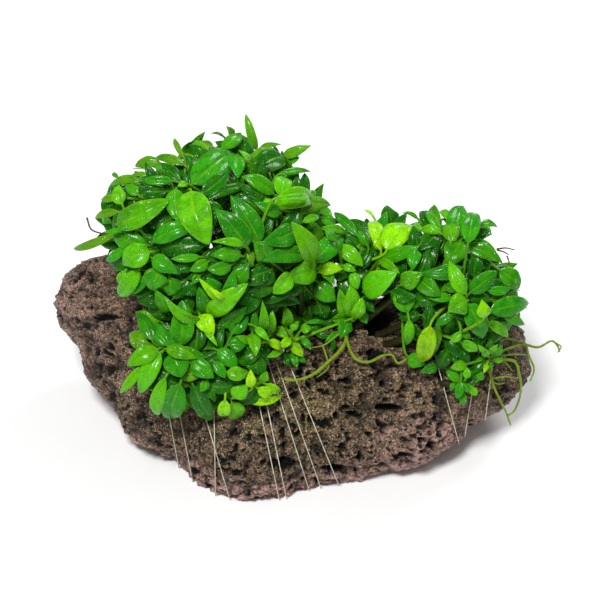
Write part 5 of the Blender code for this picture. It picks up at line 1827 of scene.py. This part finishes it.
class ANUBIAS_OT_line(bpy.types.Operator):
    """Winds the tying line round the stone"""

    bl_idname = "anubias.line"
    bl_label = "Tying line"

    def execute(self, context):
        sizes = context.scene.anubias_sizes
        material = thread_material()
        for name, (top, bottom, lift) in THREADS.items():
            radius = sizes.line_radius / MM
            loop, _ = thread_loop(
                top, bottom, radius + LINE_GAP + 0.3 * lift, LINE_HEIGHT * radius, LINE_STEPS,
                above_surface)
            ring = [loop[0]]
            for corner in loop[1:]:
                if (corner - ring[-1]).length > LINE_SPACING and (corner - ring[0]).length > LINE_SPACING:
                    ring.append(corner)
            ring = np.array([corner[:] for corner in ring])
            points, faces = tube(ring, np.full(len(ring), radius), sizes.line_sides, closed=True)
            batch = Batch()
            batch.add(points, faces, 0, np.zeros((len(points), 3)), (1, 1, 1))
            finish_piece(batch.build(name + "_strand", [material]), name)
        return {"FINISHED"}


class ANUBIAS_OT_stage(bpy.types.Operator):
    """Sets up the pale floor, the soft lights and the camera"""

    bl_idname = "anubias.stage"
    bl_label = "Stage"

    def execute(self, context):
        sizes = context.scene.anubias_sizes
        bpy.ops.mesh.primitive_plane_add(size=FLOOR_SIZE)
        floor = context.object
        floor.name = "studio_floor"
        floor.data.materials.append(floor_material())
        floor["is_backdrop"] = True
        world = bpy.data.worlds.new("soft_studio")
        world.use_nodes = True
        background = world.node_tree.nodes["Background"]
        background.inputs["Color"].default_value = (1, 1, 1, 1)
        background.inputs["Strength"].default_value = sizes.fill_light
        context.scene.world = world
        for name, (place, size, share) in LIGHTS.items():
            self.light(name, place, size, share * sizes.key_light)
        eye = (AIM + EYE_DISTANCE * NEAR) * MM
        camera = bpy.data.objects.new("front_camera", bpy.data.cameras.new("front_camera"))
        camera.data.sensor_width = 36
        camera.data.lens = sizes.camera_lens
        camera.location = eye
        camera.rotation_euler = (-NEAR).to_track_quat("-Z", "Y").to_euler()
        context.scene.collection.objects.link(camera)
        context.scene.camera = camera
        context.scene.view_settings.view_transform = "Standard"
        return {"FINISHED"}

    def light(self, name, place, size, power):
        lamp = bpy.data.lights.new(name, "AREA")
        lamp.shape = "DISK"
        lamp.size = size
        lamp.energy = power
        obj = bpy.data.objects.new(name, lamp)
        obj.location = place
        obj.rotation_euler = (AIM * MM - Vector(place)).to_track_quat("-Z", "Y").to_euler()
        bpy.context.scene.collection.objects.link(obj)


class ANUBIAS_PT_panel(bpy.types.Panel):
    """Lists the steps that dress the model"""

    bl_label = "Anubias on a lava stone"
    bl_idname = "ANUBIAS_PT_panel"
    bl_space_type = "VIEW_3D"
    bl_region_type = "UI"
    bl_category = "Anubias"

    def draw(self, context):
        for group in (context.scene.anubias_sizes, context.scene.anubias_looks):
            for name in group.__annotations__:
                self.layout.prop(group, name)
        for step in STEPS:
            self.layout.operator(step.bl_idname)


STEPS = (ANUBIAS_OT_stone, ANUBIAS_OT_shoots, ANUBIAS_OT_roots, ANUBIAS_OT_line, ANUBIAS_OT_stage)
CLASSES = (AnubiasSizes, AnubiasLooks, *STEPS, ANUBIAS_PT_panel)


def register():
    for item in CLASSES:
        bpy.utils.register_class(item)
    bpy.types.Scene.anubias_sizes = PointerProperty(type=AnubiasSizes)
    bpy.types.Scene.anubias_looks = PointerProperty(type=AnubiasLooks)


def unregister():
    del bpy.types.Scene.anubias_looks
    del bpy.types.Scene.anubias_sizes
    for item in reversed(CLASSES):
        bpy.utils.unregister_class(item)


def main():
    noise.seed_set(NOISE_SEED)
    register()
    bpy.ops.anubias.stone()
    bpy.ops.anubias.shoots()
    bpy.ops.anubias.roots()
    bpy.ops.anubias.line()
    bpy.ops.anubias.stage()
    sizes = {"cad": CAD_BOX, "visual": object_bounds()}
    {name: [list(corner) for corner in box] for name, box in sizes.items()}


if __name__ == "__main__":
    main()
